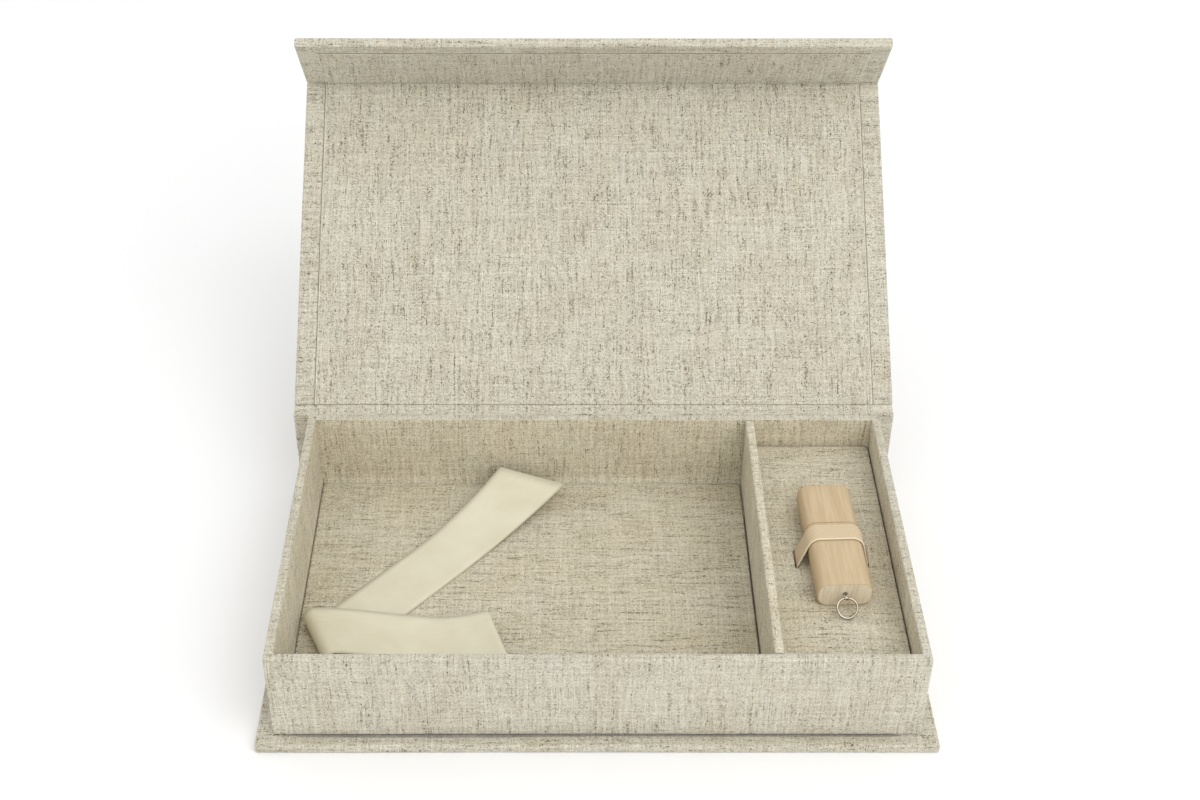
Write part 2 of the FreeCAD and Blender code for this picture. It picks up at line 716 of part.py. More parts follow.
plug_start = "body_length - plug_root"
plug_length = "plug_root + plug_reach"
usb_plug = stick_piece("usb_plug")
plug_section = sketch_on(usb_plug, "plug_section", "XZ_Plane", f"-( {plug_start} )")
rectangle(plug_section, "shell", "plug_width", "plug_thick", None, "stick_thick / 2 - plug_thick / 2")
pad(usb_plug, "plug_shell", plug_section, plug_length)
dress(usb_plug, "Fillet", "plug_corners", "plug_wall", lambda edge: runs_along(edge, BACK))
plug_bore = sketch_on(usb_plug, "plug_bore", "XZ_Plane", f"-( {plug_start} )")
rectangle(
    plug_bore, "bore", "plug_width - 2 * plug_wall", "plug_thick - 2 * plug_wall", None,
    "stick_thick / 2 - plug_thick / 2 + plug_wall",
)
pocket(usb_plug, "plug_hollow", plug_bore, plug_length)
plug_windows = usb_plug.newObject("Sketcher::SketchObject", "plug_windows")
plug_windows.AttachmentSupport = (plane(usb_plug, "XY_Plane"), "")
plug_windows.MapMode = "FlatFace"
for side, word in ((-1, "left"), (1, "right")):
    from_x = f"{side} * latch_pitch / 2 - latch_hole / 2"
    rectangle(plug_windows, word, "latch_hole", "latch_hole", from_x, "body_length + plug_reach / 2")
plug_latches = usb_plug.newObject("PartDesign::Pocket", "plug_latches")
plug_latches.Profile = plug_windows
plug_latches.Reversed = True
bind(plug_latches, "Length", "stick_thick")
doc.recompute()

collar = stick_piece("usb_collar")
collar_section = sketch_on(collar, "collar_section", "XZ_Plane", "-( body_length - collar_length )")
rectangle(collar_section, "outer", mouth_wide, mouth_tall, None, f"stick_thick / 2 - ( {mouth_tall} ) / 2")
pad(collar, "collar_length_pad", collar_section, "collar_length")
collar_bore = sketch_on(collar, "collar_bore", "XZ_Plane", "-( body_length - collar_length )")
rectangle(collar_bore, "bore", "plug_width", "plug_thick", None, "stick_thick / 2 - plug_thick / 2")
pocket(collar, "collar_hollow", collar_bore, "collar_length")

tongue_wide = "plug_width - 2 * plug_wall"
tongue_low = "stick_thick / 2 - plug_thick / 2 + plug_wall"
usb_tongue = stick_piece("usb_tongue")
tongue_section = sketch_on(usb_tongue, "tongue_section", "XZ_Plane", f"-( {plug_start} )")
rectangle(tongue_section, "tongue", tongue_wide, "tongue_thick", None, tongue_low)
pad(usb_tongue, "tongue_pad", tongue_section, plug_length + " - plug_wall")

usb_contacts = stick_piece("usb_contacts")
contact_section = sketch_on(usb_contacts, "contact_section", "XZ_Plane", "-body_length")
for number in range(4):
    from_x = f"{number - 1.5} * contact_pitch - contact_wide / 2"
    contact_low = tongue_low + " + tongue_thick"
    rectangle(contact_section, f"strip{number}", "contact_wide", "contact_thick", from_x, contact_low)
pad(usb_contacts, "contact_pad", contact_section, "plug_reach - 3 * plug_wall")

usb_circuit = stick_piece("usb_circuit")
circuit_section = sketch_on(usb_circuit, "circuit_section", "XZ_Plane", f"-( {plug_start} - circuit_length )")
rectangle(circuit_section, "board", "circuit_width", "circuit_thick", None, tongue_low)
pad(usb_circuit, "circuit_pad", circuit_section, "circuit_length")

# Screw eye in the stick's near end, and the key ring that hangs in it down to the platform


wire_sides = 10


def wire_loop(radius, wire, axis):
    # a loop of wire about an axis through the origin, its section a regular polygon
    across = UP if axis == ACROSS else ACROSS
    rim = []
    for side in range(wire_sides):
        angle = 2 * math.pi * side / wire_sides
        rim.append(across * (radius + wire * math.cos(angle)) + axis * (wire * math.sin(angle)))
    section = Part.Face(Part.makePolygon(rim + rim[:1]))
    return section.revolve(V(0, 0, 0), axis, 360)


def screw_eye_shape():
    radius = mm("eye_hole") + mm("eye_wire")
    eye = wire_loop(radius, mm("eye_wire"), ACROSS)
    eye = eye.rotated(V(0, 0, 0), BACK, -mm("eye_angle"))
    shank = Part.makeCylinder(mm("eye_wire"), mm("eye_shank") + mm("eye_wire"), V(0, radius, 0), BACK)
    return eye.fuse(shank).removeSplitter()


eye_reach = mm("eye_hole") + 2 * mm("eye_wire")
screw_eye = doc.addObject("Part::Feature", "screw_eye")
screw_eye.Shape = screw_eye_shape()
eye_middle = V(0, -eye_reach, mm("stick_thick") / 2)
screw_eye.Placement = stick_frame(mm("stick_z")).multiply(FreeCAD.Placement(eye_middle, FreeCAD.Rotation()))

ring_drop = mm("stick_z") + mm("stick_thick") / 2 - mm("platform_top") - mm("ring_seat") - mm("ring_wire")
ring_slope = math.degrees(math.asin(ring_drop / (2 * mm("ring_radius"))))
key_ring = doc.addObject("Part::Feature", "key_ring")
key_ring.Shape = wire_loop(mm("ring_radius"), mm("ring_wire"), UP)
hanging = FreeCAD.Placement(eye_middle, FreeCAD.Rotation(ACROSS, ring_slope))
ring_middle = FreeCAD.Placement(V(0, -mm("ring_radius"), 0), FreeCAD.Rotation())
key_ring.Placement = stick_frame(mm("stick_z")).multiply(hanging).multiply(ring_middle)

# Ribbon: a lower strand that rises to its cut end, one soft fold and an upper strand over it


def ribbon_rulings():
    # pairs of points across the ribbon, from the lower cut end to the upper one
    turn_angle = math.radians(mm("ribbon_angle"))
    run = V(-math.cos(turn_angle), -math.sin(turn_angle), 0)
    crease = V(run.x + 1, run.y, 0).normalize()
    fold_middle = V(mm("bay_left") + mm("ribbon_fold_x"), mm("bay_front") + mm("ribbon_fold_y"), 0)
    width = mm("ribbon_width")
    crease = crease * (width / abs(run.cross(crease).z))
    corner = fold_middle - crease * 0.5
    other = fold_middle + crease * 0.5
    square = V(run.y, -run.x, 0)
    floor = mm("pad_top") + mm("ribbon_seat") + mm("ribbon_thick") / 2
    rulings = []
    lower_steps = 6
    for step in range(lower_steps):
        share = 1 - step / lower_steps
        middle = corner.add(other) * 0.5 - run * (mm("ribbon_run") * share)
        slant = corner.sub(other) * (0.5 * (1 - share)) + square * (0.5 * width * share)
        slant = slant + run * (0.5 * mm("ribbon_slant") * share)
        rise = max(0.0, 2 * share - 1) ** 2
        left = middle.add(slant).add(UP * (floor + rise * mm("ribbon_lift_left")))
        right = middle.sub(slant).add(UP * (floor + rise * mm("ribbon_lift_right")))
        rulings.append((left, right))
    radius = mm("ribbon_fold")
    outwards = V(crease.y, -crease.x, 0).normalize()
    if outwards.x > 0:
        outwards = outwards * -1
    fold_steps = 6
    for step in range(fold_steps + 1):
        angle = math.pi * step / fold_steps
        shift = outwards * (radius * math.sin(angle)) + UP * (floor + radius * (1 - math.cos(angle)))
        rulings.append((corner.add(shift), other.add(shift)))
    upper_steps = 8
    dip = mm("ribbon_dip") + mm("ribbon_thick") / 2
    for step in range(1, upper_steps + 1):
        along = step / upper_steps
        skew = (other.x - corner.x) * (1 - min(1.0, 2 * along))
        skew += mm("ribbon_tip_slant") * max(0.0, 2 * along - 1)
        fall = (1 + math.cos(math.pi * min(1.0, along / 0.7))) / 2
        rise = max(0.0, (along - 0.7) / 0.3) ** 1.5
        height = floor + dip + (2 * radius - dip) * fall + (mm("ribbon_tip") - dip) * rise
        middle = (corner.x + other.x) / 2 + mm("ribbon_back") * along
        rulings.append((V(middle - skew / 2, corner.y, height), V(middle + skew / 2, other.y, height)))
    return rulings


def ribbon_solid():
    # a thin solid through the rulings, its thickness square to the cloth
    rulings = ribbon_rulings()
    sections = []
    for number, (left, right) in enumerate(rulings):
        before = rulings[max(0, number - 1)]
        after = rulings[min(len(rulings) - 1, number + 1)]
        forward = after[0].add(after[1]).sub(before[0].add(before[1]))
        out = forward.cross(left.sub(right)).normalize() * (mm("ribbon_thick") / 2)
        corners = [left.add(out), right.add(out), right.sub(out), left.sub(out)]
        sections.append(Part.makePolygon(corners + corners[:1]))
    return Part.makeLoft(sections, True, True)


ribbon = doc.addObject("Part::Feature", "ribbon")
ribbon.Shape = ribbon_solid()
ribbon_length = 0
rulings = ribbon_rulings()
for (left, right), (next_left, next_right) in zip(rulings, rulings[1:]):
    ribbon_length += next_left.add(next_right).sub(left.add(right)).Length / 2
print("ribbon length", round(ribbon_length, 1))

# Lid: a covered board on the spine's hinge, its lining as long as the board

lid_thin = FreeCAD.Rotation(ACROSS, -mm("lid_angle")).multVec(UP)
lid_board = board("lid_board", swung_block(
    "lid_sheet",
    "case_width - 2 * cloth", "lid_length - 2 * cloth", "case_board",
    "cloth - case_width / 2", "lid_front + cloth", "lid_under + liner + cloth",
), lid_thin)
lid_outside = wrapped("lid_outside", swung_block(
    "lid_slab",
    "case_width", "lid_length", "spine_thick",
    "-case_width / 2", "lid_front", "lid_under + liner",
), lid_thin)
lid_infill = swung_block(
    "lid_infill",
    "case_width - 2 * turn_in", "lid_length - 2 * turn_in", "cloth",
    "turn_in - case_width / 2", "lid_front + turn_in", "lid_under + liner",
)
lid_cloth = cut("lid_cloth", lid_outside, [lid_board, lid_infill])
lid_liner = swung_block(
    "lid_liner",
    "case_width - 2 * liner_margin", "lid_length", "liner",
    "liner_margin - case_width / 2", "lid_front", "lid_under",
)

# Flap: a covered board at the lid's front edge, with two magnets behind its lining

flap_low = "flap_top - flap_length"
flap_thin = FreeCAD.Rotation(ACROSS, -mm("lid_angle")).multVec(BACK)
flap_board = doc.addObject("PartDesign::Body", "flap_board")
turn(flap_board, ACROSS, "-lid_angle")
put(flap_board, "0", "hinge_y", "hinge_z")
flap_outer = "liner + cloth + case_board - flap_face"
flap_outline = sketch_on(flap_board, "flap_outline", "XZ_Plane", flap_outer)
flap_wide = "case_width - 2 * cloth"
rectangle(flap_outline, "sheet", flap_wide, "flap_length - 2 * cloth", None, flap_low + " + cloth")
pad(flap_board, "flap_thickness", flap_outline, "case_board")
dress(flap_board, "Fillet", "flap_corners", "case_corner", lambda edge: runs_along(edge, BACK))
magnet_outline = sketch_on(flap_board, "magnet_outline", "XZ_Plane", "liner + cloth - flap_face")
plate_seats(magnet_outline, "magnet_z - magnet_width / 2 - hinge_z")
pocket(flap_board, "magnet_pockets", magnet_outline, "magnet_thick", forwards=True)

flap_magnet_pair = []
for side, word in ((-1, "left"), (1, "right")):
    flap_magnet_pair.append(swung_block(
        "flap_magnet_" + word,
        "magnet_length", "magnet_thick", "magnet_width",
        f"{side} * magnet_spacing / 2 - magnet_length / 2", "flap_face - liner - cloth - magnet_thick",
        "magnet_z - magnet_width / 2 - hinge_z",
    ))
flap_magnets = joined("flap_magnets", flap_magnet_pair)

flap_outside = wrapped("flap_outside", swung_block(
    "flap_slab",
    "case_width", "spine_thick", "flap_length",
    "-case_width / 2", "flap_face - liner - spine_thick", flap_low,
), flap_thin)
flap_infill = swung_block(
    "flap_infill",
    "case_width - 2 * flap_turn_in", "cloth", "flap_length - 2 * flap_turn_in",
    "flap_turn_in - case_width / 2", "flap_face - liner - cloth", flap_low + " + flap_turn_in",
)
flap_cloth = cut("flap_cloth", flap_outside, [flap_board, flap_magnets, flap_infill])
flap_liner = swung_block(
    "flap_liner",
    "case_width - 2 * liner_margin", "liner", "flap_length - flap_end_margin",
    "liner_margin - case_width / 2", "flap_face - liner", flap_low + " + flap_end_margin",
)

# Cloth hinges: outside linen and inside lining at the spine and at the fold of the flap


def swung(y, z):
    # a point given as it lies with the lid closed, counted from the hinge axis
    place = FreeCAD.Rotation(ACROSS, -mm("lid_angle")).multVec(V(0, y, z))
    return place.add(V(0, mm("hinge_y"), mm("hinge_z")))


def strip(name, start, middle, end, thick, half_width):
    # cloth bent in one arc through three points, thick towards the arc's centre
    outer = Part.Arc(start, middle, end)
    centre = outer.toShape().Curve.Center

    def inset(point):
        return point.add(centre.sub(point).normalize() * thick)

    inner = Part.Arc(inset(start), inset(middle), inset(end))
    sides = [
        outer.toShape(), Part.LineSegment(end, inset(end)).toShape(),
        inner.toShape(), Part.LineSegment(inset(start), start).toShape(),
    ]
    face = Part.Face(Part.Wire(Part.sortEdges(sides)[0]))
    face.translate(V(-half_width, 0, 0))
    cloth_strip = doc.addObject("Part::Feature", name)
    cloth_strip.Shape = face.extrude(V(2 * half_width, 0, 0))
    return cloth_strip


half_case = mm("case_width") / 2
half_liner = half_case - mm("liner_margin")
seam = mm("seam")
fold = mm("fold_round")
spine_back = mm("tray_back") + mm("spine_thick")
lid_top = mm("lid_under") + mm("liner") + mm("spine_thick")
lid_hinge_cloth = strip(
    "lid_hinge_cloth",
    V(0, spine_back + seam, mm("tray_top") - fold),
    V(0, (spine_back + swung(mm("lid_back"), lid_top).y) / 2, mm("tray_top") - 1.6 * fold - mm("cloth")),
    swung(mm("lid_back") + seam, lid_top - fold),
    mm("cloth"),
    half_case,
)
lid_hinge_liner = strip(
    "lid_hinge_liner",
    V(0, mm("tray_back") + seam, mm("tray_top") + 2 * seam + mm("liner")),
    V(0, spine_back - fold, mm("tray_top") + 3 * seam + mm("liner")),
    swung(mm("lid_back") + seam, mm("lid_under")),
    mm("liner"),
    half_liner,
)
flap_outer_face = mm("flap_face") - mm("liner") - mm("spine_thick")
corner_y = (mm("lid_front") + flap_outer_face) / 2 - 0.35 * (mm("lid_front") - flap_outer_face)
corner_z = (lid_top + mm("flap_top")) / 2 + 0.25 * (lid_top - mm("flap_top"))
flap_hinge_cloth = strip(
    "flap_hinge_cloth",
    swung(mm("lid_front") - seam, lid_top - seam),
    swung(corner_y, corner_z),
    swung(flap_outer_face + seam, mm("flap_top") + seam),
    mm("cloth"),
    half_case,
)
flap_hinge_liner = strip(
    "flap_hinge_liner",
    swung(mm("lid_front") + seam, mm("lid_under") - seam),
    swung(mm("flap_face") - 2 * seam, mm("lid_under") - 0.4 * mm("flap_drop")),
    swung(mm("flap_face") - seam, mm("flap_top") + seam),
    mm("liner"),
    half_liner,
)

# Checks and export

pieces = [
    base_board, spine_board, case_cloth,
    tray_bottom_board, tray_front_board, tray_back_board, tray_left_board, tray_right_board,
    front_plates, tray_cloth, divider_board, divider_cloth, pad_card, floor_pad_cloth,
    platform_card, platform_cloth, platform_rails, elastic_band, ribbon,
    usb_body, usb_cap, usb_plug, collar, usb_tongue, usb_contacts, usb_circuit, screw_eye, key_ring,
    lid_board, lid_cloth, lid_infill, lid_liner,
    flap_board, flap_magnets, flap_cloth, flap_infill, flap_liner,
    lid_hinge_cloth, lid_hinge_liner, flap_hinge_cloth, flap_hinge_liner,
]
doc.recompute()
for thing in doc.Objects:
    if "Invalid" in thing.State or "Error" in thing.State:
        raise ValueError(thing.Name + " failed to build")
for piece in pieces:
    if piece.Shape.isNull() or not piece.Shape.isValid() or piece.Shape.Volume <= 0:
        raise ValueError(piece.Label + " has no sound shape")

os.makedirs("parts", exist_ok=True)
for piece in pieces:
    piece.Shape.exportStep("parts/" + piece.Label + ".step")
print(len(pieces), "pieces written")
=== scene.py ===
import json
import math
import random

import bmesh
import bpy
from mathutils import Matrix, Vector, noise


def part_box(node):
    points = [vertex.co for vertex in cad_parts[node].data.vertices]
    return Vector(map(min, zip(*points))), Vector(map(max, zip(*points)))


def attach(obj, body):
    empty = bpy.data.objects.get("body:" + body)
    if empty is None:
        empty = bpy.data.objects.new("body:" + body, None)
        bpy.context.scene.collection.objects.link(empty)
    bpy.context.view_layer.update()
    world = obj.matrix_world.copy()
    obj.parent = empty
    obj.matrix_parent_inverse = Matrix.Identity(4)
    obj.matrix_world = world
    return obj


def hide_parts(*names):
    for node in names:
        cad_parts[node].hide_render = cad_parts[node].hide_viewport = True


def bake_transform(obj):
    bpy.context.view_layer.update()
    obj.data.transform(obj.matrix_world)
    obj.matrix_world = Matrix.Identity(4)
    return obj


# Photo storage box: linen-covered case, tray with a ribbon, and a wooden USB stick under an elastic band.
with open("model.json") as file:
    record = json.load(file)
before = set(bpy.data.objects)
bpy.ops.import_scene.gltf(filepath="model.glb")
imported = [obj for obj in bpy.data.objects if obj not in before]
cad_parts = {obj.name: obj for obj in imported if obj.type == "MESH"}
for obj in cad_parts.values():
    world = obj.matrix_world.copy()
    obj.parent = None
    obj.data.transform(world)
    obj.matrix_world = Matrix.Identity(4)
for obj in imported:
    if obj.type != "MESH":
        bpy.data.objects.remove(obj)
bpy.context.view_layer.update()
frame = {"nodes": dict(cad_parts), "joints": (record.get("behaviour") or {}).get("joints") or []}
mm = 0.001
print("frame loaded, nodes:", len(frame["nodes"]))


# Places taken from the frame

joints = {joint["name"]: joint for joint in frame["joints"]}
hingeAt = Vector(joints["lid_hinge"]["pos_m"])
flapHingeAt = Vector(joints["flap_hinge"]["pos_m"])
lidAngle = math.radians(joints["lid_hinge"]["range_deg"][1])
lidFrame = Matrix.Translation(hingeAt) @ Matrix.Rotation(-lidAngle, 4, "X")  # lid shut, from its hinge
stickAngle = math.asin(joints["stick_slide"]["axis"][0])
stickFrame = Matrix.Rotation(stickAngle, 4, "Z")
plainFrame = Matrix.Identity(4)


def boxIn(turned, *nodes):  # lowest and highest corner of CAD nodes in a turned frame
    back = turned.inverted()
    spots = [back @ vert.co for name in nodes for vert in frame["nodes"][name].data.vertices]
    low = Vector([min(spot[k] for spot in spots) for k in range(3)])
    high = Vector([max(spot[k] for spot in spots) for k in range(3)])
    return low, high


# Shader helpers

def tint(red, green, blue):  # a screen colour, 0 to 255, as Blender's linear colour
    return tuple(((part / 255 + 0.055) / 1.055) ** 2.4 for part in (red, green, blue)) + (1.0,)


def addNode(tree, kind, inputs=None, **settings):
    made = tree.nodes.new("ShaderNode" + kind)
    for key, value in settings.items():
        setattr(made, key, value)
    for key, value in (inputs or {}).items():
        if isinstance(value, bpy.types.NodeSocket):
            tree.links.new(value, made.inputs[key])
        else:
            made.inputs[key].default_value = value
    return made


def calc(tree, operation, first, second=0.0, third=0.0, clamp=False):
    made = addNode(tree, "Math", {0: first, 1: second, 2: third}, operation=operation, use_clamp=clamp)
    return made.outputs[0]


def spread(tree, value, low, high, toLow=0.0, toHigh=1.0):  # maps low..high to another range, clamped
    inputs = {"Value": value, "From Min": low, "From Max": high, "To Min": toLow, "To Max": toHigh}
    return addNode(tree, "MapRange", inputs).outputs["Result"]


def speckle(tree, across, along, detail=2.0, roughness=0.55):  # 2D noise at (across, along)
    place = addNode(tree, "CombineXYZ", {"X": across, "Y": along}).outputs["Vector"]
    inputs = {"Vector": place, "Scale": 1.0, "Detail": detail, "Roughness": roughness}
    return addNode(tree, "TexNoise", inputs, noise_dimensions="2D").outputs["Fac"]


def blendColor(tree, amount, first, second, mode="MIX"):
    made = addNode(tree, "Mix", {"Factor": amount}, data_type="RGBA", blend_type=mode)
    for socket, value in ((made.inputs[6], first), (made.inputs[7], second)):
        if isinstance(value, bpy.types.NodeSocket):
            tree.links.new(value, socket)
        else:
            socket.default_value = value
    return made.outputs[2]


def newGroup(name, inputs, outputs):
    group = bpy.data.node_groups.new(name, "ShaderNodeTree")
    kinds = {"value": "NodeSocketFloat", "color": "NodeSocketColor", "vector": "NodeSocketVector"}
    for label, kind in inputs:
        group.interface.new_socket(name=label, in_out="INPUT", socket_type=kinds[kind])
    for label, kind in outputs:
        group.interface.new_socket(name=label, in_out="OUTPUT", socket_type=kinds[kind])
    return group, group.nodes.new("NodeGroupInput").outputs, group.nodes.new("NodeGroupOutput").inputs


def newMaterial(name):
    material = bpy.data.materials.new(name)
    material.use_nodes = True
    tree = material.node_tree
    tree.nodes.clear()
    shader = addNode(tree, "BsdfPrincipled")
    addNode(tree, "OutputMaterial", {"Surface": shader.outputs["BSDF"]})
    return material, tree, shader


def useGroup(tree, group, inputs):
    made = tree.nodes.new("ShaderNodeGroup")
    made.node_tree = group
    for key, value in inputs.items():
        if isinstance(value, bpy.types.NodeSocket):
            tree.links.new(value, made.inputs[key])
        else:
            made.inputs[key].default_value = value
    return made.outputs


# Linen weave: slubby yarn in one direction, dotted where it dives under the cross yarn

def makeLinenWeave():
    inputs = [
        ("Threads", "vector"), ("Pitch", "value"), ("Slub Length", "value"), ("Slubs", "value"),
        ("Cross Slubs", "value"), ("Flecks", "value"), ("Grit", "value"), ("Dots", "value"), ("Seed", "value"),
        ("Base", "value"),
        ("Light", "color"), ("Dark", "color"), ("Warm", "color"),
    ]
    group, given, result = newGroup("linenWeave", inputs, [("Color", "color"), ("Height", "value")])
    tree = group
    inMm = addNode(tree, "VectorMath", {0: given["Threads"], 1: (1000, 1000, 1000)}, operation="MULTIPLY")
    parts = addNode(tree, "SeparateXYZ", {"Vector": inMm.outputs[0]}).outputs
    waver = speckle(tree, calc(tree, "MULTIPLY", parts["X"], 0.03), calc(tree, "MULTIPLY", parts["Y"], 0.03))
    across = calc(tree, "ADD", parts["X"], calc(tree, "MULTIPLY", waver, 2.4))
    across = calc(tree, "ADD", across, given["Seed"])
    along = calc(tree, "ADD", parts["Y"], calc(tree, "MULTIPLY", waver, -2.0))
    acrossStep = calc(tree, "DIVIDE", across, given["Pitch"])
    alongStep = calc(tree, "DIVIDE", along, given["Pitch"])
    yarn = calc(tree, "FLOOR", acrossStep)
    pick = calc(tree, "FLOOR", alongStep)
    onTop = calc(tree, "PINGPONG", calc(tree, "ADD", yarn, pick), 1.0)  # 1 where the yarn is over the cross yarn
    below = calc(tree, "SUBTRACT", 1.0, onTop)

    def slub(index, step, run, length, low, high):  # darkness of one yarn along its run
        value = speckle(tree, calc(tree, "MULTIPLY", index, step), calc(tree, "DIVIDE", run, length), 3.0, 0.6)
        return spread(tree, value, low, high)

    def cells(shift):  # one chance value for each place where two yarns cross
        place = addNode(tree, "CombineXYZ", {"X": yarn, "Y": pick, "Z": shift}).outputs["Vector"]
        return addNode(tree, "TexWhiteNoise", {"Vector": place}, noise_dimensions="3D").outputs["Value"]

    longDark = slub(yarn, 7.31, along, given["Slub Length"], 0.50, 0.80)
    shortDark = slub(yarn, 3.77, along, calc(tree, "MULTIPLY", given["Slub Length"], 0.16), 0.60, 0.72)
    pickDark = slub(pick, 5.13, across, calc(tree, "MULTIPLY", given["Slub Length"], 0.45), 0.58, 0.80)
    yarnShade = slub(yarn, 11.73, along, calc(tree, "MULTIPLY", given["Slub Length"], 3.0), 0.25, 0.75)
    pickShade = slub(pick, 9.37, across, calc(tree, "MULTIPLY", given["Slub Length"], 3.0), 0.25, 0.75)
    bands = speckle(tree, calc(tree, "MULTIPLY", across, 0.55), calc(tree, "MULTIPLY", along, 0.06), 3.0, 0.6)
    bands = spread(tree, bands, 0.40, 0.68)
    patches = speckle(tree, calc(tree, "MULTIPLY", across, 0.05), calc(tree, "MULTIPLY", along, 0.03), 3.0, 0.6)
    crowd = spread(tree, bands, 0.0, 1.0, 0.35, 1.3)

    mainTone = calc(tree, "MULTIPLY", calc(tree, "MULTIPLY", longDark, crowd), given["Slubs"])
    fleckTone = calc(tree, "MULTIPLY", calc(tree, "MULTIPLY", shortDark, crowd), given["Flecks"])
    crossTone = calc(tree, "MULTIPLY", pickDark, given["Cross Slubs"])
    evenTop = calc(tree, "MULTIPLY", calc(tree, "SUBTRACT", yarnShade, 0.5), 0.38)
    evenLow = calc(tree, "MULTIPLY", calc(tree, "SUBTRACT", pickShade, 0.35), 0.35)
    chance = cells(0.0)
    broken = calc(tree, "MULTIPLY", spread(tree, chance, 0.0, 1.0, 0.35, 1.65), spread(tree, onTop, 0.0, 1.0, 0.45, 1.0))
    topTone = calc(tree, "ADD", calc(tree, "ADD", mainTone, fleckTone), evenTop)
    topTone = calc(tree, "MULTIPLY", topTone, broken)
    lowTone = calc(tree, "MULTIPLY", calc(tree, "ADD", crossTone, evenLow), spread(tree, below, 0.0, 1.0, 0.3, 1.0))
    gritTone = calc(tree, "MULTIPLY", calc(tree, "SUBTRACT", chance, 0.5), given["Grit"])
    dots = calc(tree, "MULTIPLY", spread(tree, cells(5.0), 0.94, 0.99), given["Dots"])
    gritTone = calc(tree, "ADD", gritTone, dots)
    darkness = calc(tree, "ADD", calc(tree, "ADD", topTone, lowTone), gritTone)
    darkness = calc(tree, "ADD", darkness, calc(tree, "MULTIPLY", bands, 0.07))
    darkness = calc(tree, "ADD", darkness, given["Base"], clamp=True)
    ground = blendColor(tree, spread(tree, patches, 0.38, 0.66, 0.0, 0.5), given["Light"], given["Warm"])
    colour = blendColor(tree, darkness, ground, given["Dark"])

    def crown(step):  # round back of a yarn, 0 between two yarns and 1 on its middle
        return calc(tree, "SINE", calc(tree, "MULTIPLY", calc(tree, "FRACT", step), math.pi))

    over = calc(tree, "MULTIPLY", crown(acrossStep), onTop)
    under = calc(tree, "MULTIPLY", crown(alongStep), below)
    weave = calc(tree, "ADD", over, under)
    # painted shade: the colour darkens in the gaps between yarn crowns, where shade falls
    pores = spread(tree, weave, 0.05, 0.75, 0.72, 1.0)
    colour = addNode(tree, "VectorMath", {0: colour, 3: pores}, operation="SCALE").outputs[0]
    tree.links.new(colour, result["Color"])
    tree.links.new(calc(tree, "ADD", weave, calc(tree, "MULTIPLY", mainTone, 0.6)), result["Height"])
    return group


linenWeave = makeLinenWeave()

linen = {
    "pitch": 0.48,
    "slubLength": 11.0,
    "base": 0.19,  # how far the plain yarn is from its lightest tone
    "plain": (tint(227, 223, 206), tint(104, 91, 66), tint(220, 211, 188)),  # light, dark and warm tone
    "pad": (tint(228, 221, 199), tint(116, 103, 77), tint(220, 209, 180)),
    # painted warm bounce light: the tray's inside linen, lighter and warmer than the same linen outside
    "inner": (tint(235, 228, 205), tint(112, 98, 71), tint(229, 217, 190)),
    # partly painted highlight: near-white tone of the frayed edge threads
    "thread": (tint(246, 243, 230), tint(104, 91, 66), tint(246, 243, 230)),
    "shade": (tint(166, 156, 133), tint(104, 91, 66), tint(166, 156, 133)),
    "roughness": 0.93,
    "relief": 0.4,
}


def makeLinen(name, slubs, crossSlubs, flecks, grit, dots, seed, tones="plain"):
    material, tree, shader = newMaterial(name)
    light, dark, warm = linen[tones]
    weave = useGroup(tree, linenWeave, {
        "Threads": addNode(tree, "UVMap", uv_map="threads").outputs["UV"],
        "Pitch": linen["pitch"], "Slub Length": linen["slubLength"], "Slubs": slubs,
        "Cross Slubs": crossSlubs, "Flecks": flecks, "Grit": grit, "Dots": dots, "Seed": seed,
        "Base": linen["base"], "Light": light, "Dark": dark, "Warm": warm,
    })
    tree.links.new(weave["Color"], shader.inputs["Base Color"])
    bump = addNode(tree, "Bump", {"Height": weave["Height"], "Strength": linen["relief"], "Distance": 0.00012})
    tree.links.new(bump.outputs["Normal"], shader.inputs["Normal"])
    shader.inputs["Roughness"].default_value = linen["roughness"]
    shader.inputs["Sheen Weight"].default_value = 0.1
    shader.inputs["Specular IOR Level"].default_value = 0.2
    return material


caseLinen = makeLinen("caseLinen", 0.52, 0.32, 0.80, 0.35, 0.26, 17.0)
trayLinen = makeLinen("trayLinen", 0.42, 0.28, 0.56, 0.30, 0.20, 203.0)
# painted warm bounce light: this copy of the tray's linen covers the faces inside the tray, the divider and the corner
# laps
warmBounceLinen = makeLinen("warmBounceLinen", 0.46, 0.26, 0.60, 0.32, 0.20, 331.0, "inner")
liningLinen = makeLinen("liningLinen", 0.52, 0.32, 0.80, 0.35, 0.26, 411.0)
padLinen = makeLinen("padLinen", 0.66, 0.16, 0.76, 0.34, 0.12, 655.0, "pad")
print("linen ready")


# Mesh helpers: every cloth mesh is made of patches of (place, (across, along)) spots in metres

hand = {"amount": 0.00014, "scale": 19.0}  # unevenness of glued cloth


def handmade(spot):  # the same for pieces that lie together, so nothing parts or sinks
    return spot + noise.noise_vector(spot * hand["scale"]) * hand["amount"]


def newMesh():
    bm = bmesh.new()
    return bm, bm.loops.layers.uv.new("threads")


def addPatch(bm, threads, grid, place=None):
    corners = [[bm.verts.new(place(spot) if place else spot) for spot, uv in row] for row in grid]
    for row in range(len(grid) - 1):
        for col in range(len(grid[0]) - 1):
            around = ((row, col), (row, col + 1), (row + 1, col + 1), (row + 1, col))
            face = bm.faces.new([corners[r][c] for r, c in around])
            for loop, (r, c) in zip(face.loops, around):
                loop[threads].uv = grid[r][c][1]


def addCap(bm, threads, ring, place=None):
    face = bm.faces.new([bm.verts.new(place(spot) if place else spot) for spot, uv in ring])
    for loop, (spot, uv) in zip(face.loops, ring):
        loop[threads].uv = uv


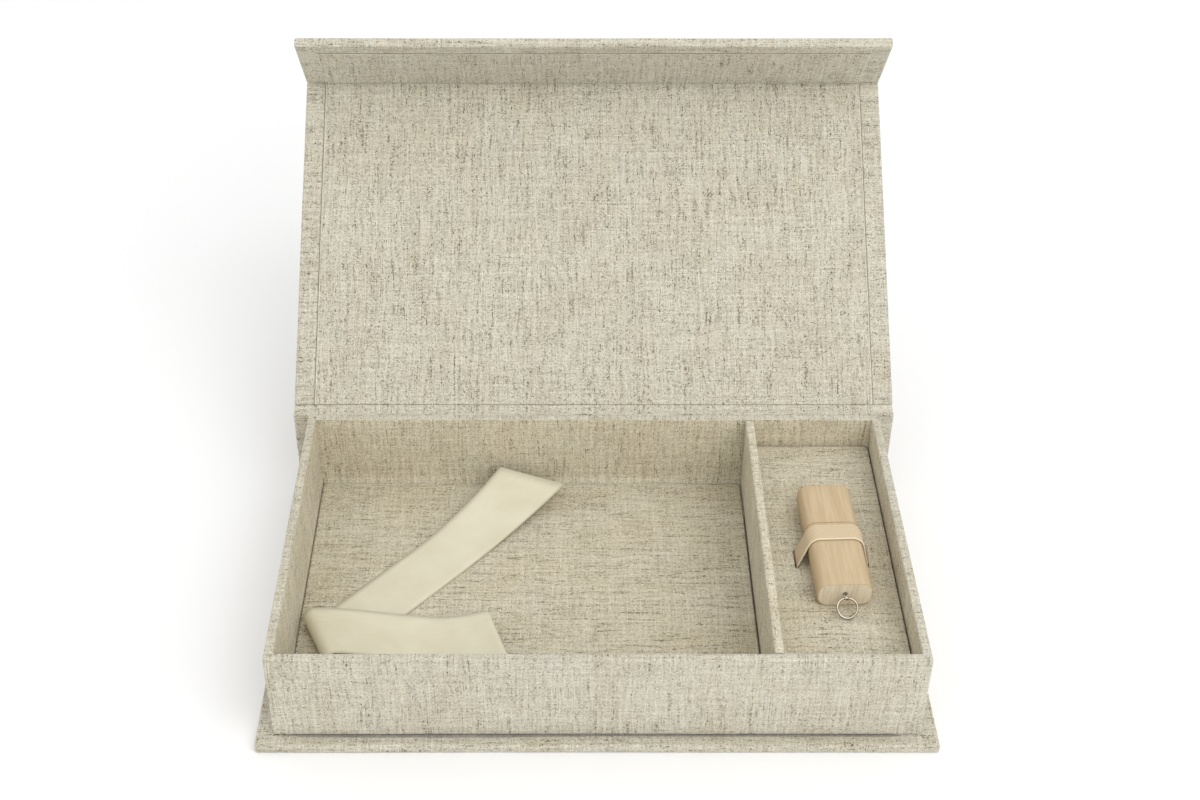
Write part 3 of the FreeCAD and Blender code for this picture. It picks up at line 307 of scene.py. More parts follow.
def meshPiece(name, bm, materials, body, replaced=(), place=None):
    bmesh.ops.remove_doubles(bm, verts=bm.verts, dist=1e-7)
    bmesh.ops.dissolve_degenerate(bm, edges=bm.edges, dist=1e-7)
    bmesh.ops.recalc_face_normals(bm, faces=bm.faces)
    mesh = bpy.data.meshes.new(name)
    bm.to_mesh(mesh)
    bm.free()
    for material in materials:
        mesh.materials.append(material)
    mesh.shade_smooth()
    piece = bpy.data.objects.new(name, mesh)
    bpy.context.scene.collection.objects.link(piece)
    if place:
        piece.matrix_world = place
    if body:
        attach(piece, body)
    if replaced:
        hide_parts(*replaced)
    return piece


def newPiece(name, bm, material, body, replaced=()):
    return meshPiece(name, bm, [material], body, replaced)


def gridLines(low, high, spacing, support=0.0):  # places from low to high, with a line close to each end
    inner = [low + support, high - support] if support else [low, high]
    count = max(1, round(abs(inner[1] - inner[0]) / spacing))
    lines = [inner[0] + (inner[1] - inner[0]) * step / count for step in range(count + 1)]
    return [low] + lines + [high] if support else lines


def inFrame(turned):  # places a spot of a turned frame in the row frame, with the hand's unevenness
    return lambda spot: handmade(turned @ spot)


def roundedOutline(corners, radius, spacing, segments=4):  # closed: (place, outward normal, length)
    outline = []
    length = 0.0
    count = len(corners)
    for number in range(count):
        before, corner, after = corners[number - 1], corners[number], corners[(number + 1) % count]
        arriving = (corner - before).normalized()
        leaving = (after - corner).normalized()
        centre = corner - arriving * radius + leaving * radius
        normalIn = Vector((arriving.y, -arriving.x))
        normalOut = Vector((leaving.y, -leaving.x))
        bulge = 1 if arriving.cross(leaving) > 0 else -1
        for step in range(segments + 1):
            turn = math.pi / 2 * step / segments
            normal = normalIn * math.cos(turn) + normalOut * math.sin(turn)
            place = centre + normal * (radius * bulge)
            if outline:
                length += (place - outline[-1][0]).length
            outline.append((place, normal, length))
        following = corners[(number + 2) % count]
        nextLeaving = (following - after).normalized()
        edgeEnd = after - leaving * radius
        start = corner + leaving * radius
        run = (edgeEnd - start).length
        for far in gridLines(0, run, spacing, min(0.0006, run / 4))[1:-1]:
            place = start + leaving * far
            outline.append((place, normalOut, length + far))
        length += run
        if number == count - 1:
            outline.append((outline[0][0], outline[0][1], length))
    return outline


def sweptBoard(name, corners, half, look, place, material, body, replaced):
    # a covered board: its outline, in the YZ plane, swept along X, with its ends rounded over
    bm, threads = newMesh()
    outline = roundedOutline(corners, look["edge"], look["spacing"])
    end = look["edge"] * 0.96
    stations = [(x, 0.0) for x in gridLines(end - half, half - end, look["spacing"], 0.0006)]
    turns = [math.pi / 2 * step / 4 for step in range(1, 5)]
    right = [(half - end + end * math.sin(turn), end * (1 - math.cos(turn))) for turn in turns]
    left = [(-x, inset) for x, inset in reversed(right)]
    grid = []
    for x, inset in left + stations + right:
        row = []
        for at, normal, length in outline:
            drawn = at - normal * inset
            row.append((Vector((x, drawn.x, drawn.y)), (length, x + math.copysign(inset, x))))
        grid.append(row)
    addPatch(bm, threads, grid, place)
    for row in (grid[0], grid[-1]):
        addCap(bm, threads, [(spot, (spot.y, spot.z)) for spot, uv in row[:-1]], place)
    return newPiece(name, bm, material, body, replaced)


def clothSheet(name, lines, thick, place, material, body, slot, replaced, uvOf):
    # a flat sheet of cloth in the XY plane of its place, given thickness downwards
    acrossLines, alongLines = lines
    bm, threads = newMesh()
    grid = [[(Vector((x, y, 0)), uvOf(x, y)) for y in alongLines] for x in acrossLines]
    addPatch(bm, threads, grid, place)
    piece = newPiece(name, bm, material, body, replaced)
    thicken(piece, thick)
    return piece


def thicken(piece, thick, offset=-1.0):
    layer = piece.modifiers.new("thickness", "SOLIDIFY")
    layer.thickness = thick
    layer.offset = offset
    return layer


# Case: base and spine under one linen, slubs running across the box

case = {
    "edge": 0.00085, "spacing": 0.006,
    "dip": 0.0005, "dipEnds": 0.010, "dipLines": (0.0036, 0.0024, 0.0014, 0.0007, 0.0, -0.0015, -0.003),
}

caseLow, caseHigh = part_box("case_cloth")
trayLow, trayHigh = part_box("tray_cloth")
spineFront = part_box("spine_board")[0].y - (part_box("spine_board")[0].z - caseLow.z)
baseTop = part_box("base_board")[1].z + (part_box("base_board")[0].z - caseLow.z)
caseCorners = [Vector(pair) for pair in (
    (caseLow.y, caseLow.z), (caseHigh.y, caseLow.z), (caseHigh.y, caseHigh.z),
    (spineFront, caseHigh.z), (spineFront, baseTop), (caseLow.y, baseTop),
)]
caseCloth = sweptBoard(
    "caseCloth", caseCorners, caseHigh.x, case, inFrame(plainFrame), caseLinen,
    "tray", ["case_cloth"],
)


def sinkBase():  # the base's top dips a little where the tray's front wall is glued on it
    mesh = caseCloth.data
    bm = bmesh.new()
    bm.from_mesh(mesh)
    for ahead in case["dipLines"]:
        around = bm.verts[:] + bm.edges[:] + bm.faces[:]
        bmesh.ops.bisect_plane(bm, geom=around, plane_co=(0, trayLow.y - ahead, 0), plane_no=(0, 1, 0), dist=1e-6)
    reach = max(case["dipLines"])
    for vert in bm.verts:
        ahead = trayLow.y - vert.co.y
        if abs(ahead) < reach and vert.co.z > baseTop - case["edge"] / 2 and vert.co.z < baseTop + case["edge"]:
            ends = min(1.0, max(0.0, (trayHigh.x - abs(vert.co.x)) / case["dipEnds"]))
            vert.co.z -= case["dip"] * ends * (1 - abs(ahead) / reach) ** 1.5
    bm.to_mesh(mesh)
    bm.free()


sinkBase()


# Tray: one linen from under its walls, over the rim and down inside, mitred at the corners

tray = {
    "edge": 0.0006, "tuck": 0.0003, "lift": 0.00035, "spacing": 0.006, "mitre": 0.0005, "mitreWidth": 0.0004,
    "seen": 0.0002, "lap": 0.0024, "lapThick": 0.0003, "lapRise": 0.0005,
}

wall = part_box("tray_left_board")[1].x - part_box("tray_left_board")[0].x
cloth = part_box("tray_left_board")[0].x - trayLow.x
wallThick = wall + 2 * cloth
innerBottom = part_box("divider_cloth")[0].z


def wallSpot(along, halfAlong, halfOut, corner, inset):  # a spot of one side of a rounded rectangle drawn in by inset
    inner = halfAlong - corner
    depth = max(inset, corner)
    if abs(along) <= inner:
        return along * (halfAlong - depth) / inner, halfOut - inset
    turn = math.atan((abs(along) - inner) / corner)
    radius = max(corner - inset, 0.0)
    reach = halfAlong - depth + radius * math.sin(turn)
    return math.copysign(reach, along), halfOut - depth + radius * math.cos(turn)


def roundOver(insetStart, insetEnd, top, radius, segments=4):
    # profile over a rim from its outer to its inner side, as (inset, height)
    spots = []
    for step in range(segments + 1):
        turn = math.pi / 2 * step / segments
        spots.append((insetStart + radius * (1 - math.cos(turn)), top - radius * (1 - math.sin(turn))))
    for step in range(segments, -1, -1):
        turn = math.pi / 2 * step / segments
        spots.append((insetEnd - radius * (1 - math.cos(turn)), top - radius * (1 - math.sin(turn))))
    return spots


def makeTray():
    edge, tuck = tray["edge"], tray["tuck"]
    foot = trayLow.z + tray["lift"]
    profile = [(0.004, foot), (tuck, foot)]
    for step in range(4):
        turn = math.pi / 2 * (step + 1) / 4
        profile.append((tuck * (1 - math.sin(turn)), foot + tuck * (1 - math.cos(turn))))
    outerHeights = gridLines(profile[-1][1], trayHigh.z - edge, tray["spacing"], 0.0006)
    profile += [(0.0, height) for height in outerHeights[1:-1]]
    profile += roundOver(0.0, wallThick, trayHigh.z, edge)
    innerHeights = gridLines(trayHigh.z - edge, innerBottom, tray["spacing"])
    profile += [(wallThick, height) for height in innerHeights[1:]]
    profile += [(0.024, innerBottom)]
    halfX, halfY = trayHigh.x, (trayHigh.y - trayLow.y) / 2
    middle = Vector((0, (trayLow.y + trayHigh.y) / 2, 0))
    bm, threads = newMesh()
    for side in range(4):
        halfAlong, halfOut = (halfX, halfY) if side % 2 == 0 else (halfY, halfX)
        turned = Matrix.Rotation(math.pi / 2 * side, 4, "Z")
        straight = halfAlong - edge
        lines = gridLines(-straight, straight, tray["spacing"], tray["mitreWidth"])
        lines = [-halfAlong, -straight - edge / 2] + lines + [straight + edge / 2, halfAlong]
        grid = []
        for along in lines:
            row = []
            length = 0.0
            last = profile[0]
            for inset, height in profile:
                length += math.hypot(inset - last[0], height - last[1])
                last = (inset, height)
                reach, out = wallSpot(along, halfAlong, halfOut, edge, inset)
                onRim = 0.0004 < inset < wallThick - 0.0004 and height > trayHigh.z - edge
                atMitre = abs(along) >= halfAlong - edge / 2 - 1e-9 and inset > edge * 0.5
                drop = tray["mitre"] if onRim and atMitre else 0.0
                spot = middle + turned @ Vector((reach, -out, height - drop))
                row.append((spot, (reach + 0.31 * side, length)))
            grid.append(row)
        addPatch(bm, threads, grid, handmade)
    for face in bm.faces:  # painted warm bounce light: the faces inside the tray get a lighter, warmer copy of the same linen
        away = face.calc_center_median() - middle
        face.material_index = abs(away.x) < halfX - wallThick + tray["seen"] and abs(away.y) < halfY - wallThick + tray["seen"]
    return meshPiece("trayCloth", bm, [trayLinen, warmBounceLinen], "tray", ["tray_cloth"])


trayCloth = makeTray()


def makeLaps():  # at the inner back corners the side walls' linen laps a little over the back wall's
    bm, threads = newMesh()
    face = trayHigh.y - wallThick
    for side in (-1, 1):
        corner = side * (trayHigh.x - wallThick)
        heights = gridLines(innerBottom, trayHigh.z - tray["lapRise"], tray["spacing"])
        across = (0.0, tray["lap"] * 0.5, tray["lap"] - tray["lapThick"], tray["lap"], tray["lap"])
        out = (tray["lapThick"],) * 3 + (tray["lapThick"] * 0.7, -tray["lapThick"])
        addPatch(bm, threads, [
            [(Vector((corner - side * x, face - y, z)), (x + side, z)) for z in heights] for x, y in zip(across, out)
        ], handmade)
    return newPiece("cornerLaps", bm, warmBounceLinen, "tray")


makeLaps()


# Covered boards that lie or stand in the tray: rounded plates

def plateSpot(x, y, half, corner, inset):
    shrink = (corner - inset) / corner
    dx = max(abs(x) - (half.x - corner), 0) * shrink
    dy = max(abs(y) - (half.y - corner), 0) * shrink
    if dx > 0 and dy > 0:
        reach = max(dx, dy) / math.hypot(dx, dy)
        dx, dy = dx * reach, dy * reach
    drawnX = min(abs(x), half.x - corner) + dx
    drawnY = min(abs(y), half.y - corner) + dy
    return math.copysign(drawnX, x), math.copysign(drawnY, y)


def makePlate(name, low, high, look, place, material, body, replaced, grain="x"):
    # a covered board whose thickness is along Z of its place; grain is the way its slubs run
    half = (high - low) / 2
    middle = (high + low) / 2
    corner, edge = look["corner"], look["edge"]
    bm, threads = newMesh()

    def lines(reach):
        straight = gridLines(corner - reach, reach - corner, look["spacing"])
        return [-reach, corner / 2 - reach] + straight + [reach - corner / 2, reach]

    def spot(x, y, z, inset, u, v):
        drawn = plateSpot(x, y, half, corner, inset)
        uv = (v, u) if grain == "x" else (u, v)
        return middle + Vector((drawn[0], drawn[1], z)), (uv[0] + look.get("shift", 0.0), uv[1])

    for side in (1, -1):
        grid = [[spot(x, y, side * half.z, edge, x, y * side) for y in lines(half.y)] for x in lines(half.x)]
        addPatch(bm, threads, grid, place)
    steps = [math.pi / 2 * step / 4 for step in range(5)]
    rim = [(edge * (1 - math.sin(turn)), half.z - edge * (1 - math.cos(turn))) for turn in steps]
    rim += [(inset, -z) for inset, z in reversed(rim)]
    for way in (1, -1):
        grids = ([], [])
        for inset, z in rim:
            fold = half.z - z
            grids[0].append([
                spot(way * half.x, y, z, inset, way * (half.x + fold), y) for y in lines(half.y)
            ])
            grids[1].append([
                spot(x, way * half.y, z, inset, x, way * (half.y + fold)) for x in lines(half.x)
            ])
        for grid in grids:
            addPatch(bm, threads, grid, place)
    return newPiece(name, bm, material, body, replaced)


divider = {"corner": 0.0009, "edge": 0.0008, "spacing": 0.006, "shift": 0.7}
floorPad = {"corner": 0.002, "edge": 0.0006, "spacing": 0.006}
platform = {"corner": 0.0022, "edge": 0.0006, "spacing": 0.006, "shift": 0.9}

# stands on its long edge: x of the plate runs up
dividerLow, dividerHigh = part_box("divider_cloth")
upright = Matrix(((0, 0, 1, 0), (0, 1, 0, 0), (1, 0, 0, 0), (0, 0, 0, 1)))
dividerCloth = makePlate(
    "dividerCloth",
    Vector((dividerLow.z, dividerLow.y, dividerLow.x)), Vector((dividerHigh.z, dividerHigh.y, dividerHigh.x)),
    divider, inFrame(upright), warmBounceLinen, "tray", ["divider_cloth"],
)
padLow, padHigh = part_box("floor_pad_cloth")
floorPadCloth = makePlate(
    "floorPadCloth", padLow, padHigh, floorPad, inFrame(plainFrame), padLinen,
    "tray", ["floor_pad_cloth"],
)
platformLow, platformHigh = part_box("platform_cloth")
platformCloth = makePlate(
    "platformCloth", platformLow, platformHigh, platform, inFrame(plainFrame), padLinen,
    "tray", ["platform_cloth"],
)
print("tray covered")


# Lid and flap: the case linen over two boards, with one lining over flap, lid and hinge

lid = {
    "edge": 0.00085, "spacing": 0.006, "liningThick": 0.0003, "liningEdge": 0.0003, "fray": 0.00022,
    "endGap": 0.0002,
}

lidLow, lidHigh = boxIn(lidFrame, "lid_cloth")
flapLow, flapHigh = boxIn(lidFrame, "flap_cloth")
liningLow, liningHigh = boxIn(lidFrame, "lid_liner")
flapLiningLow, flapLiningHigh = boxIn(lidFrame, "flap_liner")


def boardCorners(low, high):
    pairs = ((low.y, low.z), (high.y, low.z), (high.y, high.z), (low.y, high.z))
    return [Vector(pair) for pair in pairs]


lidCloth = sweptBoard(
    "lidCloth", boardCorners(lidLow, lidHigh), lidHigh.x, lid, inFrame(lidFrame), caseLinen,
    "lid", ["lid_cloth"],
)
flapCloth = sweptBoard(
    "flapCloth", boardCorners(flapLow, flapHigh), flapHigh.x, lid, inFrame(lidFrame), caseLinen,
    "flap", ["flap_cloth"],
)


def makeStrip(name, halfWidth, spots, thick, material, body, replaced, place, start=0.0):
    # a strip of cloth through (y, z) spots, as wide as the box is long; start is where its length begins
    bm, threads = newMesh()
    grid = []
    for x in gridLines(-halfWidth, halfWidth, lid["spacing"], lid["liningEdge"]):
        row = []
        length = start
        last = spots[0]
        for y, z in spots:
            length += math.hypot(y - last[0], z - last[1])
            last = (y, z)
            frayed = lid["fray"] * noise.noise(Vector((0, length * 90, halfWidth))) if abs(x) == halfWidth else 0
            uv = (x, length) if material == liningLinen else (length, x)  # the case linen's slubs run along the hinge
            row.append((Vector((x + frayed, y, z)), uv))
        grid.append(row)
    addPatch(bm, threads, grid, inFrame(place))
    piece = newPiece(name, bm, material, body, replaced)
    thicken(piece, thick, 1.0)
    return piece


liningLength = liningHigh.y - liningLow.y
lidLining = makeStrip(
    "lidLining", liningHigh.x,
    [(y, liningLow.z) for y in gridLines(liningHigh.y, liningLow.y, lid["spacing"], -lid["liningEdge"])],
    lid["liningThick"], liningLinen, "lid", ["lid_liner"], lidFrame,
)
flapLining = makeStrip(
    "flapLining", flapLiningHigh.x,
    [
        (flapLiningHigh.y, z)
        for z in gridLines(flapLiningHigh.z, flapLiningLow.z, lid["spacing"], -lid["liningEdge"])
    ],
    lid["liningThick"], liningLinen, "flap", ["flap_liner"], lidFrame, liningLength,
)


# Frayed cut edges of the lining: threads that stand up along it, and the shadow under their outer side

fray = {"radius": 0.00029, "uneven": 0.3, "spacing": 0.0012, "sides": 6, "wander": 0.00007, "sunk": 0.0002}


def addThread(bm, threads, start, end, radius, seed, place):
    along = (end - start).normalized()
    side = along.orthogonal().normalized()
    other = along.cross(side)
    count = max(2, round((end - start).length / fray["spacing"]))
    grid = []
    for step in range(count + 1):
        spot = start.lerp(end, step / count)
        chance = noise.noise_vector(spot * 900 + Vector((seed, 0, 0)))
        middle = spot + (side * chance.x + other * chance.y) * fray["wander"]
        round_ = radius * (1 + fray["uneven"] * chance.z)
        row = []
        for number in range(fray["sides"] + 1):
            turn = 2 * math.pi * number / fray["sides"]
            reach = side * math.cos(turn) + other * math.sin(turn)
            row.append((middle + reach * round_, (turn * radius, (spot - start).length)))
        grid.append(row)
    addPatch(bm, threads, grid, place)


def makeFray(name, runs, radius, material, body):
    bm, threads = newMesh()
    for number, (start, end) in enumerate(runs):
        addThread(bm, threads, start, end, radius, 7.0 * number, inFrame(lidFrame))
    return newPiece(name, bm, material, body)


def lidEdgeRuns(out, height):
    return [
        (Vector((side * (liningHigh.x + out), liningHigh.y, liningLow.z - height)),
         Vector((side * (liningHigh.x + out), lidLow.y + 0.0008, liningLow.z - height)))
        for side in (-1, 1)
    ]


def flapEdgeRuns(out, height):
    face = flapLiningHigh.y + height
    low = flapLiningLow.z - out
    runs = [
        (Vector((side * (liningHigh.x + out), face, flapLiningHigh.z - 0.0008)),
         Vector((side * (liningHigh.x + out), face, low)))
        for side in (-1, 1)
    ]
    return runs + [(Vector((-liningHigh.x, face, low)), Vector((liningHigh.x, face, low)))]


# frayed threads: their near-white colour is partly the pale raw thread and partly a painted highlight along the
# lining's raised cut edge
frayHighlightLinen = makeLinen("frayHighlightLinen", 0.10, 0.10, 0.10, 0.25, 0.2, 31.0, "thread")
shadeLinen = makeLinen("shadeLinen", 0.30, 0.20, 0.30, 0.40, 0.2, 57.0, "shade")
makeFray("lidLiningFray", lidEdgeRuns(0.0, -fray["sunk"]), fray["radius"], frayHighlightLinen, "lid")
makeFray("flapLiningFray", flapEdgeRuns(0.0, -fray["sunk"]), fray["radius"], frayHighlightLinen, "flap")
# painted shadow: dark threads just outside the lining's cut edges stand in for the shadow under their outer side
makeFray("lidLiningShadow", lidEdgeRuns(0.00042, -0.0002), fray["radius"] * 0.8, shadeLinen, "lid")
makeFray("flapLiningShadow", flapEdgeRuns(0.00042, -0.0002)[2:], fray["radius"] * 0.8, shadeLinen, "flap")


# Cloth hinges: outside linen and inside lining, at the spine and at the fold of the flap

hinge = {"seam": 0.00005, "steps": 10, "crease": 0.0013, "groove": 0.0009, "lap": 0.0006, "ledge": 0.00025}


def bent(start, middle, end):  # (y, z) spots of one soft bend through three spots
    pull = (2 * middle[0] - (start[0] + end[0]) / 2, 2 * middle[1] - (start[1] + end[1]) / 2)
    spots = []
    for step in range(hinge["steps"] + 1):
        share = step / hinge["steps"]
        parts = ((1 - share) ** 2, 2 * share * (1 - share), share ** 2)
        spots.append(tuple(parts[0] * start[k] + parts[1] * pull[k] + parts[2] * end[k] for k in range(2)))
    return spots


def opened(y, z):  # a spot of the shut lid's frame as (y, z) of the row frame
    spot = lidFrame @ Vector((0, y, z))
    return spot.y, spot.z


def makeHinge(name, halfWidth, spots, thick, material, replaced):
    piece = makeStrip(name, halfWidth, spots, thick, material, None, replaced, plainFrame)
    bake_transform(piece)
    return piece


lidHingeEnd = opened(lidHigh.y + hinge["seam"], lidHigh.z - lid["edge"])
lidHingeCloth = makeHinge(
    "lidHingeCloth", caseHigh.x - lid["endGap"],
    bent(
        (caseHigh.y + hinge["seam"], trayHigh.z - lid["edge"]),
        ((caseHigh.y + lidHingeEnd[0]) / 2, trayHigh.z - 2 * lid["edge"]),
        lidHingeEnd,
    ),
    cloth, caseLinen, ["lid_hinge_cloth"],
)


def lidHingeInside(lower):  # spots from the tray's back rim to the lid, lower by so much
    return [(trayHigh.y + hinge["seam"], trayHigh.z - hinge["crease"] - lower)] + bent(
        (trayHigh.y + hinge["lap"], trayHigh.z + hinge["seam"] - lower),
        (caseHigh.y - lid["edge"], trayHigh.z + lid["liningThick"] + 2 * hinge["seam"] - lower),
        opened(lidHigh.y + hinge["seam"], liningLow.z + hinge["ledge"] + lower),
    )


lidHingeLining = makeHinge(
    "lidHingeLining", liningHigh.x, lidHingeInside(0.0),
    lid["liningThick"], liningLinen, ["lid_hinge_liner"],
)
lidHingeTurnIn = makeHinge(
    "lidHingeTurnIn", caseHigh.x - lid["endGap"], lidHingeInside(lid["liningThick"]),
    cloth, caseLinen, [],
)
cornerY = (lidLow.y + flapLow.y) / 2 - 0.35 * (lidLow.y - flapLow.y)
cornerZ = (lidHigh.z + flapHigh.z) / 2 + 0.25 * (lidHigh.z - flapHigh.z)
flapHingeCloth = makeHinge(
    "flapHingeCloth", lidHigh.x - lid["endGap"],
    bent(
        opened(lidLow.y - hinge["seam"], lidHigh.z - lid["edge"]),
        opened(cornerY, cornerZ),
        opened(flapLow.y + lid["edge"], flapHigh.z + hinge["seam"]),
    ),
    cloth, caseLinen, ["flap_hinge_cloth"],
)


def flapHingeInside(lower):  # spots from the lid's front edge to the flap, with the fold pressed in
    spots = bent(
        opened(lidLow.y + hinge["lap"], liningLow.z + lower),
        opened(flapLiningHigh.y - hinge["crease"] - lower, (liningLow.z + flapHigh.z) / 2),
        opened(flapLiningHigh.y - lower, flapHigh.z - hinge["lap"]),
    )
    middle = len(spots) // 2
    deeper = opened(-hinge["groove"], hinge["groove"])
    zero = opened(0, 0)
    spots[middle] = tuple(spots[middle][k] + deeper[k] - zero[k] for k in range(2))
    return spots


flapHingeLining = makeHinge(
    "flapHingeLining", liningHigh.x, flapHingeInside(0.0),
    lid["liningThick"], liningLinen, ["flap_hinge_liner"],
)
flapHingeTurnIn = makeHinge(
    "flapHingeTurnIn", lidHigh.x - lid["endGap"], flapHingeInside(lid["liningThick"]),
    cloth, caseLinen, [],
)
print("lid and flap covered")


# Ribbon: a lower strand that rises to its cut end, one soft fold and an upper strand over it

ribbon = {
    "width": 0.025, "thick": 0.00035, "seat": 0.00015, "turn": math.radians(49.1), "run": 0.12311,
    "slant": 0.014, "back": 0.0686, "tipSlant": 0.0087, "fold": 0.004, "foldX": 0.01185, "foldY": 0.0388,
    "liftLeft": 0.0115, "liftRight": 0.0065, "dip": 0.0024, "tip": 0.0065,
    "lowerSteps": 30, "foldSteps": 16, "upperSteps": 40, "across": 10, "flatLength": 0.203,
}


def ribbonRulings():
    # pairs of places across the ribbon, from its lower cut end to its upper one
    run = Vector((-math.cos(ribbon["turn"]), -math.sin(ribbon["turn"]), 0))
    crease = Vector((run.x + 1, run.y, 0)).normalized()
    bayLeft, bayFront = trayLow.x + wallThick, trayLow.y + wallThick
    foldMiddle = Vector((bayLeft + ribbon["foldX"], bayFront + ribbon["foldY"], 0))
    crease *= ribbon["width"] / abs(run.cross(crease).z)
    corner, other = foldMiddle - crease / 2, foldMiddle + crease / 2
    square = Vector((run.y, -run.x, 0))
    up = Vector((0, 0, 1))
    ground = padHigh.z + ribbon["seat"] + ribbon["thick"] / 2
    rulings = []
    for step in range(ribbon["lowerSteps"]):
        share = 1 - step / ribbon["lowerSteps"]
        middle = foldMiddle - run * (ribbon["run"] * share)
        half = (corner - other) * (0.5 * (1 - share)) + square * (0.5 * ribbon["width"] * share)
        half += run * (0.5 * ribbon["slant"] * share)
        rise = max(0.0, 2 * share - 1) ** 2
        left = middle + half + up * (ground + rise * ribbon["liftLeft"])
        right = middle - half + up * (ground + rise * ribbon["liftRight"])
        rulings.append((left, right))
    outwards = Vector((crease.y, -crease.x, 0)).normalized()
    if outwards.x > 0:
        outwards.negate()
    radius = ribbon["fold"]
    for step in range(ribbon["foldSteps"] + 1):
        angle = math.pi * step / ribbon["foldSteps"]
        shift = outwards * (radius * math.sin(angle)) + up * (ground + radius * (1 - math.cos(angle)))
        rulings.append((corner + shift, other + shift))
    dip = ribbon["dip"] + ribbon["thick"] / 2
    for step in range(1, ribbon["upperSteps"] + 1):
        along = step / ribbon["upperSteps"]
        skew = (other.x - corner.x) * (1 - min(1.0, 2 * along)) + ribbon["tipSlant"] * max(0.0, 2 * along - 1)
        fall = (1 + math.cos(math.pi * min(1.0, along / 0.7))) / 2
        rise = max(0.0, (along - 0.7) / 0.3) ** 1.5
        height = ground + dip + (2 * radius - dip) * fall + (ribbon["tip"] - dip) * rise
        middle = foldMiddle.x + ribbon["back"] * along
        rulings.append((
            Vector((middle - skew / 2, corner.y, height)), Vector((middle + skew / 2, other.y, height)),
        ))
    return rulings


def makeRibbon(material):
    bm, threads = newMesh()
    grid = []
    length = 0.0
    last = None
    for left, right in ribbonRulings():
        middle = (left + right) / 2
        length += (middle - last).length if last else 0.0
        last = middle
        row = []
        for step in range(ribbon["across"] + 1):
            share = step / ribbon["across"]
            lean = (right - left).dot(Vector((0, 0, 0)))
            row.append((left.lerp(right, share), (ribbon["width"] * share, length + lean)))
        grid.append(row)
    addPatch(bm, threads, grid)
    piece = newPiece("liftingRibbon", bm, material, "tray", ["ribbon"])
    thicken(piece, ribbon["thick"], 0.0)
    return piece


def makeRibbonSatin():
    material, tree, shader = newMaterial("ribbonSatin")
    threads = addNode(tree, "UVMap", uv_map="threads").outputs["UV"]
    inMm = addNode(tree, "VectorMath", {0: threads, 1: (1000, 1000, 1000)}, operation="MULTIPLY").outputs[0]
    parts = addNode(tree, "SeparateXYZ", {"Vector": inMm}).outputs
    weft = calc(tree, "SINE", calc(tree, "MULTIPLY", parts["Y"], 2 * math.pi / 0.34))
    warp = speckle(tree, calc(tree, "MULTIPLY", parts["X"], 3.2), calc(tree, "MULTIPLY", parts["Y"], 0.12))
    cloud = speckle(tree, calc(tree, "MULTIPLY", parts["X"], 0.05), calc(tree, "MULTIPLY", parts["Y"], 0.05))
    tone = calc(tree, "ADD", calc(tree, "MULTIPLY", warp, 0.4), calc(tree, "MULTIPLY", cloud, 0.8))
    colour = blendColor(tree, spread(tree, tone, 0.35, 0.85), tint(221, 216, 193), tint(209, 202, 176))
    side = calc(tree, "PINGPONG", parts["X"], 1000 * ribbon["width"] / 2)  # its two cut edges are a little darker
    colour = blendColor(tree, spread(tree, side, 0.25, 0.75, 0.45, 0.0), colour, tint(186, 174, 142))
    tree.links.new(colour, shader.inputs["Base Color"])
    relief = calc(tree, "ADD", calc(tree, "MULTIPLY", weft, 0.4), warp)
    bump = addNode(tree, "Bump", {"Height": relief, "Strength": 0.14, "Distance": 0.00006})
    tree.links.new(bump.outputs["Normal"], shader.inputs["Normal"])
    tree.links.new(spread(tree, warp, 0.3, 0.7, 0.50, 0.62), shader.inputs["Roughness"])
    shader.inputs["Sheen Weight"].default_value = 0.2
    shader.inputs["Specular IOR Level"].default_value = 0.35
    return material


liftingRibbon = makeRibbon(makeRibbonSatin())
print("ribbon folded")


# USB stick: wooden body and cap, built in the stick's own frame

stick = {"corner": 0.0044, "end": 0.0005, "joint": 0.00055, "sideSteps": 8, "spacing": 0.004, "seat": 0.00022}

bodyLow, bodyHigh = boxIn(stickFrame, "usb_body")
capLow, capHigh = boxIn(stickFrame, "usb_cap")
stickPlace = stickFrame @ Matrix.Translation(Vector(((bodyLow.x + bodyHigh.x) / 2, bodyLow.y, bodyLow.z)))
stickHalf = (bodyHigh.x - bodyLow.x) / 2
stickThick = bodyHigh.z - bodyLow.z


def stickSection(inset):
    # the rounded outline of the wood, drawn in by inset, seen along the stick
    radius = stick["corner"]
    spots = []
    for cornerX, cornerZ, first in ((1, 1, 0), (-1, 1, 1), (-1, -1, 2), (1, -1, 3)):
        seat = stick["seat"] if cornerZ < 0 else 0.0
        centre = (cornerX * (stickHalf - radius), stickThick / 2 + cornerZ * (stickThick / 2 - radius) - seat)
        for step in range(stick["sideSteps"] + 1):
            turn = math.pi / 2 * (first + step / stick["sideSteps"])
            reach = radius - inset
            spots.append((centre[0] + reach * math.cos(turn), centre[1] + reach * math.sin(turn)))
    return spots


def makeWood(name, start, end, startRound, endRound, materials, body, replaced):
    # a bar of the rounded section from start to end along Y, with its two ends rounded over
    bm = bmesh.new()
    turns = [math.pi / 2 * step / 4 for step in range(5)]
    rings = [(start + startRound * (1 - math.cos(turn)), startRound * (1 - math.sin(turn))) for turn in turns]
    rings += [(y, 0.0) for y in gridLines(start + startRound, end - endRound, stick["spacing"])[1:-1]]
    rings += [(end - endRound * (1 - math.cos(turn)), endRound * (1 - math.sin(turn))) for turn in reversed(turns)]
    loops = [[bm.verts.new((x, y, z)) for x, z in stickSection(inset)] for y, inset in rings]
    for first, second in zip(loops, loops[1:]):
        for number in range(len(first)):
            after = (number + 1) % len(first)
            bm.faces.new((first[number], first[after], second[after], second[number]))
    for loop in (loops[0], loops[-1]):
        bm.faces.new(loop).material_index = 1
    piece = meshPiece(name, bm, materials, body, replaced, stickPlace)
    return piece


